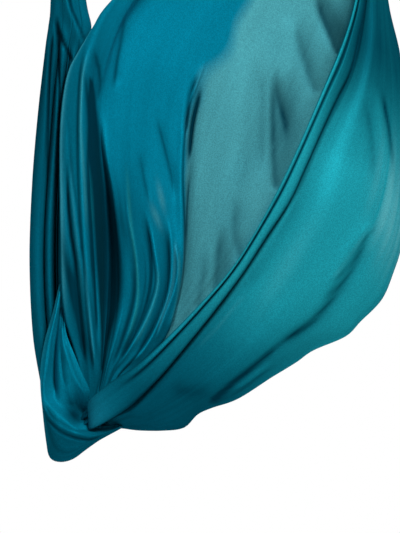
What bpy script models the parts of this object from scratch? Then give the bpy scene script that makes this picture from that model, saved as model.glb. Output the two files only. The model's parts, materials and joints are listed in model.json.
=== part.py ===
"""Aerial silk hung as a two-point hammock: ceiling anchors, carabiners, slings and the cloth.

Metres, Z up. The origin is on the ceiling, midway between the two anchors. X runs from the
left anchor to the right one, and Y points away from someone who faces the open side of the pod.
"""

import math

import bmesh
import bpy
from mathutils import Matrix, Vector

# General
TOUCH_GAP = 0.0003  # left between solids that touch
RIG_SPACING = 0.840  # from one anchor to the other
MERGE_DISTANCE = 0.00001
SHARP_ANGLE = math.radians(35)
HOLE_SIDES = 16
LARGE_HOLE_SIDES = 24
BAR_SIDES = 20
PIN_SIDES = 12
PLANE_TO_YZ = Matrix(((0, 0, 1, 0), (1, 0, 0, 0), (0, 1, 0, 0), (0, 0, 0, 1)))
CUTTER_OVERRUN = 4.0  # how many times a cutter is longer than the wall it goes through

# Ceiling anchor: a plate with countersunk holes
PLATE_LENGTH = 0.130
PLATE_WIDTH = 0.060
PLATE_THICKNESS = 0.006
PLATE_CORNER_RADIUS = 0.010
PLATE_CORNER_STEPS = 5
PLATE_EDGE_CHAMFER = 0.0008
SCREW_SPACING_X = 0.100
SCREW_SPACING_Y = 0.034
SCREW_HOLE_RADIUS = 0.0033
SCREW_HEAD_RADIUS = 0.0065

# Anchor eye: a U of round bar let through the plate
EYE_BAR_RADIUS = 0.005
EYE_INNER_WIDTH = 0.036
EYE_DROP = 0.045  # from the ceiling to the middle of the bar
EYE_HOLE_CLEARANCE = 0.0004

# Oval carabiner
CARABINER_LENGTH = 0.109
CARABINER_WIDTH = 0.059
ROD_RADIUS = 0.0055
BODY_SIDES_RESOLUTION = 3
BOW_STEPS = 12

# Gate: it turns on a pin in the body's lower tongue and closes on the upper one
PIVOT_DROP = 0.0150  # from the carabiner's middle down to the pin
GATE_REACH = 0.0360  # from the pin to the gate's tip
GATE_HEEL = 0.0035  # from the pin to the gate's foot
NOSE_GAP = 0.0008
HEEL_GAP = 0.0036
TONGUE_THICKNESS = 0.0040
TONGUE_HALF_WIDTH = 0.0038
TONGUE_SIDE_CLEARANCE = 0.0003
TONGUE_END_CLEARANCE = 0.0009
NOSE_LENGTH = 0.0055
NOSE_END_CLEARANCE = 0.0020
PIN_RADIUS = 0.0015
PIN_CLEARANCE = 0.0003
PIN_END_INSET = 0.0004

# Screw sleeve on the gate
SLEEVE_LENGTH = 0.0235
SLEEVE_WALL = 0.0019
SLEEVE_CLEARANCE = 0.0004
SLEEVE_REST = 0.0060  # from the pin up to the sleeve's lower end, unscrewed
SLEEVE_GRIPS = 12
SLEEVE_GRIP_DEPTH = 0.0006

# Daisy sling: webbing sewn to itself, which leaves a row of pockets
SLING_LENGTH = 0.330  # between the middles of the two carabiner bows that it joins
WEB_WIDTH = 0.016
WEB_THICKNESS = 0.0022
WEB_SEAT_CLEARANCE = 0.0004
POCKET_COUNT = 4
POCKET_BULGE = 0.0085
TACK_LENGTH = 0.0090
LOOP_TAPER = 0.034  # from the bow's middle to the first tack
WEB_STEPS = 8

# Silk over the lower carabiner
FOLD_HALF_WIDTH = 0.011
FOLD_THICKNESS = 0.012
FOLD_SEAT_CLEARANCE = 0.0006
FOLD_TAPER = 0.046  # from the bow's middle down to the ends of the fold
FOLD_LEG_SPREAD = 0.0068
FOLD_LEG_STEPS = 5

# Knot drawn round the fold's legs
KNOT_TOP = 0.034  # below the bow's middle
KNOT_HEIGHT = 0.042
KNOT_RADIUS = 0.031
KNOT_TURNS = 3
KNOT_GROOVE = 0.0045
KNOT_LIP = 0.004
KNOT_END_ROUNDNESS = 0.35
KNOT_STEPS_PER_TURN = 6
KNOT_BORE_CLEARANCE = 0.0006

# Cloth
CLOTH_THICKNESS = 0.0030
STRAND_NECK_RADIUS = 0.0140
NECK_PLEAT_SHARE = 0.06
NECK_BELOW_KNOT = 0.004
RIGHT_STRAND_STEPS = 4
STRAND_PLEATS = 9
STRAND_PLEAT_SHARE = 0.16
STRAND_SIDES = 36
STRAND_STEPS = 2
POD_ROWS = 18
RAIL_STEPS = 12  # between two of a rail's numbers, to measure along it
FOLD_REACH = 1.5  # how much sooner than the upper end the folds between rails run out

# Left strand: share of its way down to the pod, sideways, depth, half width, half depth, turn
LEFT_STRAND = (
    (0.105, 0.008, 0.000, 0.034, 0.024, 0),
    (0.230, 0.021, 0.000, 0.049, 0.029, 0),
    (0.314, 0.014, 0.006, 0.057, 0.031, 0),
    (0.418, -0.003, 0.015, 0.058, 0.033, 0),
    (0.568, -0.016, 0.019, 0.064, 0.035, 0),
    (0.710, -0.018, 0.019, 0.069, 0.036, 0),
    (0.851, -0.011, 0.011, 0.066, 0.038, 2),
    (0.957, 0.006, -0.014, 0.058, 0.045, 8),
    (1.034, 0.022, -0.047, 0.076, 0.052, 60),
    (1.041, 0.050, -0.072, 0.067, 0.054, 80),
    (1.020, 0.086, -0.093, 0.052, 0.048, 116),
)

# Where the pod's lower end leaves the left strand, and where its upper end joins the right one
LOWER_END_IN = 0.112  # from the left anchor towards the right one
LOWER_END_DROP = 2.070  # from the ceiling
LOWER_END_DEPTH = -0.100
LOWER_END_HALF_WIDTH = 0.046
LOWER_END_HALF_DEPTH = 0.044
UPPER_END_IN = 0.003
UPPER_END_DROP = 0.721
UPPER_END_DEPTH = 0.0
UPPER_END_HALF_WIDTH = 0.038
UPPER_END_HALF_DEPTH = 0.034

# The pod as it is drawn: the front view's step and middle, how far off the eye is, and the pod's
# two ends. A pod with other ends keeps the drawn shape along the line between them.
VIEW_STEP = 0.0027
VIEW_MIDDLE = (200, 266.5)  # in steps from the drawing's upper left corner
VIEW_AT = (-0.0446, -1.6726)  # the place of that middle, across and up
VIEW_DISTANCE = 6.0
DRAWN_LOW = (-0.308, -0.100, -2.070)
DRAWN_HIGH = (0.417, 0.0, -0.721)
LOW_RING = (0.035, 0.036)  # the rails' ring at the lower end: half across, half depth
HIGH_RING = (0.029, 0.028)
RING_START = math.radians(-53)  # the front rim's place on both rings
RING_SWEEP = math.radians(-323)  # from the front rim round to the back rim

# The pod's cloth runs from end to end along rails, drawn as steps across, steps down, and depth.
# The first number of each rail is how many strips lie between it and the next, and the second
# how deep their folds are.
POD_RAILS = (
    ("front_rim", 1, 0.0, (
        (112, 381, -0.163), (145, 359, -0.178), (200, 304, -0.195), (239, 257, -0.205),
        (283, 179, -0.205), (322, 92, -0.175), (348, 27, -0.125), (361, -30, -0.075))),
    ("rolled_edge", 1, 0.0, (
        (122, 393, -0.172), (165, 354, -0.188), (220, 290, -0.203), (264, 230, -0.207),
        (302, 155, -0.196), (336, 82, -0.162), (357, 12, -0.106))),
    ("groove_edge", 1, 0.0, (
        (135, 402, -0.164), (186, 346, -0.184), (242, 274, -0.194), (289, 202, -0.192),
        (322, 130, -0.168), (350, 71, -0.132), (365, 0, -0.084))),
    ("groove", 1, 0.0, (
        (139, 404, -0.148), (190, 348, -0.168), (246, 276, -0.180), (293, 204, -0.179),
        (326, 132, -0.156), (354, 72, -0.120), (367, 0, -0.074))),
    ("panel_upper", 1, 0.0, (
        (150, 409, -0.152), (205, 368, -0.176), (262, 300, -0.192), (318, 215, -0.194),
        (352, 140, -0.164), (372, 60, -0.112), (374, -10, -0.066))),
    ("panel_lower", 1, 0.0, (
        (160, 417, -0.134), (226, 378, -0.156), (290, 326, -0.164), (345, 268, -0.158),
        (382, 200, -0.128), (391, 100, -0.086), (384, 0, -0.046))),
    ("lower_edge", 2, 0.0, (
        (139, 429, -0.096), (190, 421, -0.086), (238, 398, -0.074), (296, 362, -0.064),
        (345, 336, -0.058), (381, 299, -0.050), (401, 243, -0.045), (409, 150, -0.040),
        (400, 57, -0.030), (387, 0, -0.020))),
    ("underside", 1, 0.0, (
        (125, 420, -0.045), (175, 396, 0.000), (260, 345, 0.040), (340, 255, 0.070),
        (378, 140, 0.060), (380, 40, 0.040))),
    ("back_of_seat", 2, 0.0, (
        (128, 402, -0.010), (165, 365, 0.060), (220, 290, 0.120), (290, 180, 0.150),
        (330, 90, 0.130), (350, 20, 0.080))),
    ("sheer_right", 2, 0.0, (
        (126, 390, -0.012), (165, 335, 0.080), (215, 265, 0.130), (262, 165, 0.160),
        (310, 60, 0.145), (338, -10, 0.095))),
    ("sheer_left", 2, 0.0, (
        (122, 386, -0.014), (160, 338, 0.070), (186, 270, 0.126), (205, 165, 0.162),
        (248, 50, 0.150), (300, -42, 0.092))),
    ("layer_edge", 4, 0.007, (
        (121, 381, -0.036), (150, 354, 0.010), (170, 325, 0.050), (180, 270, 0.090),
        (181, 200, 0.122), (181, 145, 0.142), (190, 100, 0.150), (212, 45, 0.145),
        (246, -5, 0.120), (300, -60, 0.078))),
    ("long_fold", 4, 0.007, (
        (114, 376, -0.048), (136, 345, -0.020), (150, 300, 0.020), (153, 263, 0.045),
        (147, 220, 0.065), (144, 160, 0.095), (152, 80, 0.115), (184, 5, 0.110),
        (262, -64, 0.074))),
    ("inner_fold", 3, 0.006, (
        (106, 372, -0.060), (116, 335, -0.035), (122, 300, -0.010), (122, 250, 0.005),
        (117, 200, 0.020), (108, 140, 0.050), (111, 80, 0.070), (138, 10, 0.080),
        (245, -78, 0.056))),
    ("deep_valley", 2, 0.0, (
        (102, 366, -0.020), (106, 310, 0.050), (107, 250, 0.085), (104, 190, 0.088),
        (97, 130, 0.075), (99, 80, 0.060), (128, 10, 0.052), (172, -42, 0.044),
        (252, -92, 0.028))),
    ("left_ridge", 2, 0.0, (
        (97, 368, -0.085), (95, 310, -0.080), (92, 250, -0.072), (88, 180, -0.062),
        (85, 120, -0.050), (90, 62, -0.032), (110, 12, -0.014), (160, -45, 0.000),
        (240, -98, 0.008))),
    ("back_rim", 0, 0.0, (
        (79, 362, -0.080), (66, 318, -0.068), (62, 269, -0.060), (61, 178, -0.050),
        (61, 128, -0.043), (70, 69, -0.030), (84, 42, -0.023), (112, 0, -0.014),
        (180, -62, -0.006), (280, -102, -0.002))),
)

PARTS_NAME = "aerial_silk"
SIDES = {"left": -1, "right": 1}
STEEL = (0.62, 0.63, 0.64, 1.0)
DARK_STEEL = (0.30, 0.31, 0.33, 1.0)
WEBBING = (0.03, 0.03, 0.035, 1.0)
TEAL = (0.0, 0.17, 0.24, 1.0)


def clear_scene():
    for obj in list(bpy.data.objects):
        bpy.data.objects.remove(obj, do_unlink=True)


def new_collection(name):
    collection = bpy.data.collections.new(name)
    bpy.context.scene.collection.children.link(collection)
    return collection


def material(name, colour, roughness, metallic):
    made = bpy.data.materials.new(name)
    made.use_nodes = True
    shader = made.node_tree.nodes["Principled BSDF"]
    shader.inputs["Base Color"].default_value = colour
    shader.inputs["Roughness"].default_value = roughness
    shader.inputs["Metallic"].default_value = metallic
    return made


class Workshop:
    """The collections that finished parts and cutters go into."""

    def __init__(self):
        self.parts = new_collection(PARTS_NAME)
        self.cutters = new_collection(PARTS_NAME + "_cutters")

    def part(self, name, mesh, surface, parent=None, place=None):
        """A finished sub-part. Place is where its origin goes, in its parent's frame."""
        obj = bpy.data.objects.new(name, mesh)
        self.parts.objects.link(obj)
        if not mesh.materials:
            mesh.materials.append(surface)
        if parent is not None:
            obj.parent = parent
        if place is not None:
            obj.location = place
        return obj

    def pivot(self, name, place, parent=None):
        """An empty on a joint's axis. Place is in the parent's frame."""
        empty = bpy.data.objects.new(name, None)
        empty.empty_display_size = 0.03
        self.parts.objects.link(empty)
        empty.parent = parent
        empty.location = place
        return empty

    def scratch(self, name, data):
        """An object that a cut or a join uses and that isn't a sub-part."""
        obj = bpy.data.objects.new(name, data)
        self.cutters.objects.link(obj)
        obj.hide_render = True
        obj.display_type = "WIRE"
        return obj


def evaluated_mesh(obj, name):
    """The object's mesh with its modifiers done, its caps welded and its origin kept."""
    bpy.context.view_layer.update()
    graph = bpy.context.evaluated_depsgraph_get()
    mesh = bpy.data.meshes.new_from_object(obj.evaluated_get(graph))
    mesh.name = name
    bm = bmesh.new()
    bm.from_mesh(mesh)
    bmesh.ops.remove_doubles(bm, verts=bm.verts, dist=MERGE_DISTANCE)
    bmesh.ops.recalc_face_normals(bm, faces=bm.faces)
    bm.to_mesh(mesh)
    bm.free()
    mesh.shade_smooth()
    mesh.set_sharp_from_angle(angle=SHARP_ANGLE)
    return mesh


def consume(obj, name):
    """The finished mesh of a scratch object, which is then removed."""
    mesh = evaluated_mesh(obj, name)
    bpy.data.objects.remove(obj, do_unlink=True)
    return mesh


def mesh_of(bm, name):
    mesh = bpy.data.meshes.new(name)
    bm.to_mesh(mesh)
    bm.free()
    return mesh


def box(shop, name, size, centre):
    bm = bmesh.new()
    bmesh.ops.create_cube(bm, size=1.0)
    bmesh.ops.scale(bm, vec=size, verts=bm.verts)
    bmesh.ops.translate(bm, vec=centre, verts=bm.verts)
    return shop.scratch(name, mesh_of(bm, name))


def cylinder(shop, name, radius, depth, centre, axis="Z", top_radius=None, segments=HOLE_SIDES):
    """A round bar, or a cone with another radius at its far end, along a world axis."""
    turn = {"X": Matrix.Rotation(math.pi / 2, 3, "Y"), "Y": Matrix.Rotation(-math.pi / 2, 3, "X")}
    bm = bmesh.new()
    bmesh.ops.create_cone(
        bm,
        cap_ends=True,
        segments=segments,
        radius1=radius,
        radius2=radius if top_radius is None else top_radius,
        depth=depth,
    )
    if axis in turn:
        bmesh.ops.rotate(bm, cent=(0, 0, 0), matrix=turn[axis], verts=bm.verts)
    bmesh.ops.translate(bm, vec=centre, verts=bm.verts)
    return shop.scratch(name, mesh_of(bm, name))


def combine(obj, other, operation):
    """Cuts another object out of this one, or joins it on."""
    step = obj.modifiers.new(other.name, "BOOLEAN")
    step.operation = operation
    step.solver = "EXACT"
    step.object = other


def consume_all(obj, others, name):
    """The finished mesh of a scratch object, which is then removed with its cutters."""
    mesh = consume(obj, name)
    for other in others:
        bpy.data.objects.remove(other, do_unlink=True)
    return mesh


def cut_flat(bm, point, direction):
    """Cuts away what lies beyond a plane, and closes the cut."""
    bmesh.ops.bisect_plane(
        bm,
        geom=[*bm.verts, *bm.edges, *bm.faces],
        dist=MERGE_DISTANCE,
        plane_co=point,
        plane_no=direction,
        clear_outer=True,
    )
    open_edges = [e for e in bm.edges if e.is_boundary]
    bmesh.ops.holes_fill(bm, edges=open_edges, sides=0)


def poly_curve(name, points, cyclic=False, dimensions="3D"):
    curve = bpy.data.curves.new(name, "CURVE")
    curve.dimensions = dimensions
    add_spline(curve, points, cyclic)
    return curve


def add_spline(curve, points, cyclic):
    spline = curve.splines.new("POLY")
    spline.points.add(len(points) - 1)
    for slot, point in zip(spline.points, points):
        flat = len(point) == 2
        slot.co = (*point, 0.0, 1.0) if flat else (*point, 1.0)
    spline.use_cyclic_u = cyclic


def rod(shop, name, points, radius, resolution=BODY_SIDES_RESOLUTION):
    """A round bar bent along points, with closed ends."""
    curve = poly_curve(name, points)
    curve.bevel_depth = radius
    curve.bevel_resolution = resolution
    curve.use_fill_caps = True
    mesh = consume(shop.scratch(name, curve), name)
    return shop.scratch(name, mesh)


def arc(centre, radius, start, end, steps):
    """Points round a centre in a plane, from one angle to another in degrees."""
    turned = []
    for step in range(steps + 1):
        angle = math.radians(start + (end - start) * step / steps)
        turned.append((centre[0] + radius * math.cos(angle), centre[1] + radius * math.sin(angle)))
    return turned


def ease(share):
    """A smooth step from 0 to 1."""
    share = min(max(share, 0.0), 1.0)
    return share * share * (3.0 - 2.0 * share)


# Heights down the rig, from the ceiling
BOW_RADIUS = CARABINER_WIDTH / 2 - ROD_RADIUS  # of the rod's middle line
SIDE_HALF = CARABINER_LENGTH / 2 - ROD_RADIUS - BOW_RADIUS
BOW_TO_BOW = 2 * (SIDE_HALF + BOW_RADIUS)
EYE_Z = -EYE_DROP
UPPER_BOW_Z = EYE_Z + EYE_BAR_RADIUS + ROD_RADIUS + TOUCH_GAP
SLING_TOP_Z = UPPER_BOW_Z - BOW_TO_BOW
SLING_FOOT_Z = SLING_TOP_Z - SLING_LENGTH
SILK_Z = SLING_FOOT_Z - BOW_TO_BOW
KNOT_FOOT_Z = SILK_Z - KNOT_TOP - KNOT_HEIGHT
STRAND_TOP_Z = SILK_Z - FOLD_TAPER - TOUCH_GAP
POCKET_PITCH = (SLING_LENGTH - 2 * LOOP_TAPER - TACK_LENGTH) / POCKET_COUNT


def bow_height(half_width):
    """How far the bow's inner side rises above the rod's middle, over a strap this wide."""
    inner = BOW_RADIUS - ROD_RADIUS
    return BOW_RADIUS - math.sqrt(inner * inner - half_width * half_width)


def fold_radius():
    """The middle line's radius of the oval fold, so that it lies on the bow it is laid over."""
    samples = 20
    reach = 0.0
    for sample in range(samples + 1):
        share = sample / samples
        thickness_here = FOLD_THICKNESS / 2 * math.sqrt(1.0 - share * share)
        reach = max(reach, bow_height(FOLD_HALF_WIDTH * share) + thickness_here)
    return reach + FOLD_SEAT_CLEARANCE


def anchor_plate_mesh(shop):
    plate = box(
        shop,
        "plate_blank",
        (PLATE_LENGTH, PLATE_WIDTH, PLATE_THICKNESS),
        (0, 0, -PLATE_THICKNESS / 2),
    )
    bm = bmesh.new()
    bm.from_mesh(plate.data)
    upright = [e for e in bm.edges if abs(e.verts[0].co.z - e.verts[1].co.z) > PLATE_THICKNESS / 2]
    bmesh.ops.bevel(
        bm,
        geom=upright,
        offset=PLATE_CORNER_RADIUS,
        segments=PLATE_CORNER_STEPS,
        profile=0.5,
        affect="EDGES",
        material=-1,
    )
    lower_rim = [e for e in bm.edges if max(v.co.z for v in e.verts) < -PLATE_THICKNESS / 2]
    bmesh.ops.bevel(
        bm,
        geom=lower_rim,
        offset=PLATE_EDGE_CHAMFER,
        segments=1,
        profile=0.5,
        affect="EDGES",
        material=-1,
    )
    bm.to_mesh(plate.data)
    bm.free()
    cutters = []
    sink = SCREW_HEAD_RADIUS - SCREW_HOLE_RADIUS
    for x in (-SCREW_SPACING_X / 2, SCREW_SPACING_X / 2):
        for y in (-SCREW_SPACING_Y / 2, SCREW_SPACING_Y / 2):
            through = cylinder(
                shop,
                "screw_hole",
                SCREW_HOLE_RADIUS,
                PLATE_THICKNESS * CUTTER_OVERRUN,
                (x, y, -PLATE_THICKNESS / 2),
            )
            head = cylinder(
                shop,
                "screw_head",
                SCREW_HEAD_RADIUS + PLATE_THICKNESS,
                sink + PLATE_THICKNESS,
                (x, y, -PLATE_THICKNESS + (sink - PLATE_THICKNESS) / 2),
                top_radius=SCREW_HOLE_RADIUS,
            )
            cutters += [through, head]
    leg = EYE_INNER_WIDTH / 2 + EYE_BAR_RADIUS
    for x in (-leg, leg):
        cutters.append(
            cylinder(
                shop,
                "leg_hole",
                EYE_BAR_RADIUS + EYE_HOLE_CLEARANCE,
                PLATE_THICKNESS * CUTTER_OVERRUN,
                (x, 0, -PLATE_THICKNESS / 2),
                segments=LARGE_HOLE_SIDES,
            )
        )
    for cutter in cutters:
        combine(plate, cutter, "DIFFERENCE")
    return consume_all(plate, cutters, "anchor_plate")


def anchor_eye_mesh(shop):
    """The U, with its origin at the middle of the bar that the carabiner hangs on."""
    turn_radius = EYE_INNER_WIDTH / 2 + EYE_BAR_RADIUS
    leg_top = EYE_DROP - TOUCH_GAP
    bend = arc((0, turn_radius), turn_radius, 180, 360, BOW_STEPS)
    outline = [(-turn_radius, leg_top), *bend, (turn_radius, leg_top)]
    bar = rod(shop, "eye_bar", [(x, 0, z) for x, z in outline], EYE_BAR_RADIUS)
    return consume(bar, "anchor_eye")


def carabiner_points():
    """The body's middle line in its own plane, from the nose round to the gate's foot."""
    nose = GATE_REACH - PIVOT_DROP + NOSE_GAP
    foot = -PIVOT_DROP - GATE_HEEL - HEEL_GAP
    top = arc((0, SIDE_HALF), BOW_RADIUS, 180, 0, BOW_STEPS)
    bottom = arc((0, -SIDE_HALF), BOW_RADIUS, 0, -180, BOW_STEPS)
    return [(-BOW_RADIUS, nose), *top, *bottom, (-BOW_RADIUS, foot)]


def tongue(shop, name, outline, hole=None):
    """A flat tongue on the body's end, which the gate's fork closes over."""
    curve = poly_curve(name, outline, True, "2D")
    if hole is not None:
        add_spline(curve, hole, True)
    curve.fill_mode = "BOTH"
    curve.extrude = TONGUE_THICKNESS / 2
    mesh = consume(shop.scratch(name, curve), name)
    mesh.transform(PLANE_TO_YZ)
    return shop.scratch(name, mesh)


def carabiner_body_mesh(shop):
    """The body, with its origin in its middle and its gate side towards -Y."""
    points = carabiner_points()
    nose = points[0][1]
    foot = points[-1][1]
    near = -BOW_RADIUS - TONGUE_HALF_WIDTH
    far = -BOW_RADIUS + TONGUE_HALF_WIDTH
    body = rod(shop, "body_rod", [(0, y, z) for y, z in points], ROD_RADIUS)
    tip = nose - NOSE_LENGTH
    inside_nose = nose + ROD_RADIUS
    nose_outline = [(near, tip), (far, tip), (far, inside_nose), (near, inside_nose)]
    pin_at = (-BOW_RADIUS, -PIVOT_DROP)
    round_end = arc(pin_at, TONGUE_HALF_WIDTH, 0, 180, PIN_SIDES)
    inside_foot = foot - ROD_RADIUS
    foot_outline = [(near, inside_foot), (far, inside_foot), *round_end]
    pin_hole = arc(pin_at, PIN_RADIUS + PIN_CLEARANCE, 0, 360, PIN_SIDES)[1:]
    tongues = [
        tongue(shop, "nose_tongue", nose_outline),
        tongue(shop, "foot_tongue", foot_outline, pin_hole),
    ]
    for joined in tongues:
        combine(body, joined, "UNION")
    return consume_all(body, tongues, "carabiner_body")


def gate_mesh(shop):
    """The gate, with its origin on its pin. Both ends are forked."""
    gate = cylinder(
        shop,
        "gate_bar",
        ROD_RADIUS,
        GATE_REACH + GATE_HEEL,
        (0, 0, (GATE_REACH - GATE_HEEL) / 2),
        segments=BAR_SIDES,
    )
    slot_width = TONGUE_THICKNESS + 2 * TONGUE_SIDE_CLEARANCE
    across = ROD_RADIUS * CUTTER_OVERRUN
    foot_slot_top = TONGUE_HALF_WIDTH + TONGUE_END_CLEARANCE
    foot_slot = box(
        shop,
        "foot_slot",
        (slot_width, across, foot_slot_top + 2 * GATE_HEEL),
        (0, 0, foot_slot_top / 2 - GATE_HEEL),
    )
    nose_depth = NOSE_LENGTH - NOSE_GAP + NOSE_END_CLEARANCE
    nose_slot = box(
        shop,
        "nose_slot",
        (slot_width, across, 2 * nose_depth),
        (0, 0, GATE_REACH),
    )
    hole = cylinder(
        shop,
        "gate_pin_hole",
        PIN_RADIUS + PIN_CLEARANCE,
        ROD_RADIUS * CUTTER_OVERRUN,
        (0, 0, 0),
        axis="X",
        segments=PIN_SIDES,
    )
    cutters = [foot_slot, nose_slot, hole]
    for cutter in cutters:
        combine(gate, cutter, "DIFFERENCE")
    return consume_all(gate, cutters, "gate")


def gate_pin_mesh(shop):
    pin = cylinder(
        shop,
        "pin_bar",
        PIN_RADIUS,
        2 * (ROD_RADIUS - PIN_END_INSET),
        (0, 0, 0),
        axis="X",
        segments=PIN_SIDES,
    )
    return consume(pin, "gate_pin")


def sleeve_mesh():
    """The screw sleeve with finger grips, with its origin at its lower end."""
    inner = ROD_RADIUS + SLEEVE_CLEARANCE
    outer = inner + SLEEVE_WALL
    bm = bmesh.new()
    sides = SLEEVE_GRIPS * 2
    heights = (0.0, SLEEVE_WALL, SLEEVE_LENGTH - SLEEVE_WALL, SLEEVE_LENGTH)
    rings = []
    for level, height in enumerate(heights):
        gripped = level in (1, 2)
        for radius in (inner, outer):
            made = bmesh.ops.create_circle(bm, segments=sides, radius=radius)["verts"]
            for number, vert in enumerate(made):
                grooved = radius == outer and gripped and number % 2
                reach = radius - SLEEVE_GRIP_DEPTH if grooved else radius
                if radius == outer and not gripped:
                    reach = radius - SLEEVE_GRIP_DEPTH
                vert.co = vert.co.normalized() * reach
                vert.co.z = height
            rings.append(made)
    inside, outside = rings[0::2], rings[1::2]
    loop = [*inside, *reversed(outside), inside[0]]
    for first, second in zip(loop, loop[1:]):
        for number in range(sides):
            after = (number + 1) % sides
            bm.faces.new((first[number], first[after], second[after], second[number]))
    bmesh.ops.recalc_face_normals(bm, faces=bm.faces)
    mesh = mesh_of(bm, "screw_sleeve")
    mesh.shade_smooth()
    mesh.set_sharp_from_angle(angle=SHARP_ANGLE)
    return mesh


def sling_gap(drop, loop_radius):
    """The webbing's inner sides, left and right of the load line, at this drop."""
    from_end = min(drop, SLING_LENGTH - drop)
    if from_end < LOOP_TAPER:
        half = loop_radius * (1.0 - ease(from_end / LOOP_TAPER))
        return -half, half
    inside = (drop - LOOP_TAPER - TACK_LENGTH) % POCKET_PITCH
    share = inside / (POCKET_PITCH - TACK_LENGTH)
    if drop < LOOP_TAPER + TACK_LENGTH or share > 1.0:
        return 0.0, 0.0
    return 0.0, POCKET_BULGE * math.sin(math.pi * share) ** 2


def sling_mesh(shop):
    """The daisy sling seen from the front, drawn flat and given the webbing's width."""
    loop_radius = bow_height(WEB_WIDTH / 2) + WEB_SEAT_CLEARANCE
    outer_radius = loop_radius + WEB_THICKNESS

    def stretch(start, end):
        return [start + (end - start) * step / WEB_STEPS for step in range(WEB_STEPS + 1)]

    drops = stretch(0.0, LOOP_TAPER)
    for number in range(POCKET_COUNT):
        start = LOOP_TAPER + TACK_LENGTH + number * POCKET_PITCH
        drops += stretch(start, start + POCKET_PITCH - TACK_LENGTH)
    drops += stretch(SLING_LENGTH - LOOP_TAPER, SLING_LENGTH)

    left = [(sling_gap(d, loop_radius)[0] - WEB_THICKNESS, -d) for d in drops]
    right = [(sling_gap(d, loop_radius)[1] + WEB_THICKNESS, -d) for d in drops]
    top = arc((0, 0), outer_radius, 0, 180, BOW_STEPS)[1:-1]
    foot = arc((0, -SLING_LENGTH), outer_radius, 180, 360, BOW_STEPS)[1:-1]
    curve = poly_curve("sling", [*top, *left, *foot, *reversed(right)], True, "2D")

    top_hole = arc((0, 0), loop_radius, 0, 180, BOW_STEPS)
    taper = stretch(0.0, LOOP_TAPER)[1:]
    top_hole += [(sling_gap(d, loop_radius)[0], -d) for d in taper]
    top_hole += [(sling_gap(d, loop_radius)[1], -d) for d in reversed(taper[:-1])]
    add_spline(curve, top_hole, True)
    add_spline(curve, [(x, -SLING_LENGTH - z) for x, z in top_hole], True)
    for number in range(POCKET_COUNT):
        start = LOOP_TAPER + TACK_LENGTH + number * POCKET_PITCH
        inside = stretch(start, start + POCKET_PITCH - TACK_LENGTH)
        bulged = [(sling_gap(d, loop_radius)[1], -d) for d in inside]
        straight = [(0.0, z) for x, z in reversed(bulged[1:-1])]
        add_spline(curve, [*bulged, *straight], True)

    curve.fill_mode = "BOTH"
    curve.extrude = WEB_WIDTH / 2
    flat = shop.scratch("sling_outline", curve)
    mesh = consume(flat, "sling")
    mesh.transform(Matrix.Rotation(math.pi / 2, 4, "X"))
    return mesh


def silk_fold_mesh(shop):
    """The gathered cloth laid over the carabiner's bow, with its origin at the bow's middle."""
    radius = fold_radius()
    over = arc((0, 0), radius, 180, 0, BOW_STEPS)
    right_leg = []
    for step in range(1, FOLD_LEG_STEPS + 1):
        share = step / FOLD_LEG_STEPS
        x = radius + (FOLD_LEG_SPREAD - radius) * ease(share)
        right_leg.append((x, -FOLD_TAPER * share))
    left_leg = [(-x, z) for x, z in reversed(right_leg)]
    path = [*left_leg, *over, *right_leg]
    bar = rod(shop, "fold_bar", [(x, 0, z) for x, z in path], FOLD_THICKNESS / 2)
    mesh = consume(bar, "silk_fold")
    mesh.transform(Matrix.Diagonal((1, 2 * FOLD_HALF_WIDTH / FOLD_THICKNESS, 1, 1)))
    bm = bmesh.new()
    bm.from_mesh(mesh)
    cut_flat(bm, (0, 0, -FOLD_TAPER), (0, 0, -1))
    bmesh.ops.recalc_face_normals(bm, faces=bm.faces)
    bm.to_mesh(mesh)
    bm.free()
    return mesh


def knot_mesh(shop):
    """Turns of cloth drawn round the fold's legs, with the origin at the bow's middle."""
    leg_half_width = FOLD_LEG_SPREAD + FOLD_THICKNESS / 2
    leg_reach = max(math.hypot(FOLD_LEG_SPREAD, FOLD_HALF_WIDTH), leg_half_width)
    bore = max(leg_reach, STRAND_NECK_RADIUS) + KNOT_BORE_CLEARANCE
    lip_radius = bore + KNOT_LIP
    steps = KNOT_STEPS_PER_TURN * KNOT_TURNS
    profile = [(bore, 0, -KNOT_TOP - KNOT_LIP)]
    for step in range(steps + 1):
        share = step / steps
        swell = abs(math.sin(math.pi * KNOT_TURNS * share))
        end = math.sin(math.pi * share) ** KNOT_END_ROUNDNESS
        reach = lip_radius + (KNOT_RADIUS - lip_radius) * end
        profile.append((reach - KNOT_GROOVE * (1 - swell) * end, 0, -KNOT_TOP - KNOT_HEIGHT * share))
    profile.append((bore, 0, -KNOT_TOP - KNOT_HEIGHT + KNOT_LIP))
    mesh = bpy.data.meshes.new("knot_profile")
    last = len(profile) - 1
    edges = [(n, n + 1) for n in range(last)] + [(last, 0)]
    mesh.from_pydata(profile, edges, [])
    turned = shop.scratch("knot_turned", mesh)
    screw = turned.modifiers.new("turn", "SCREW")
    screw.steps = BAR_SIDES
    screw.render_steps = BAR_SIDES
    screw.use_merge_vertices = True
    screw.merge_threshold = MERGE_DISTANCE
    return consume(turned, "silk_knot")


def across_of(turn):
    """The direction of a section's half width after its turn, in degrees."""
    angle = math.radians(turn)
    return Vector((math.cos(angle), 0, math.sin(angle)))


def pleated_ring(centre, across, half_width, half_depth, pleat_share):
    """Points round a gathered bundle: an oval whose sides are drawn in between the pleats."""
    ring = []
    for number in range(STRAND_SIDES):
        angle = 2 * math.pi * number / STRAND_SIDES
        swell = 0.5 + 0.5 * math.cos(STRAND_PLEATS * angle)
        reach = 1.0 - pleat_share * (1.0 - swell)
        side = across * (half_width * reach * math.cos(angle))
        depth = Vector((0, half_depth * reach * math.sin(angle), 0))
        ring.append(centre + side + depth)
    return ring


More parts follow.
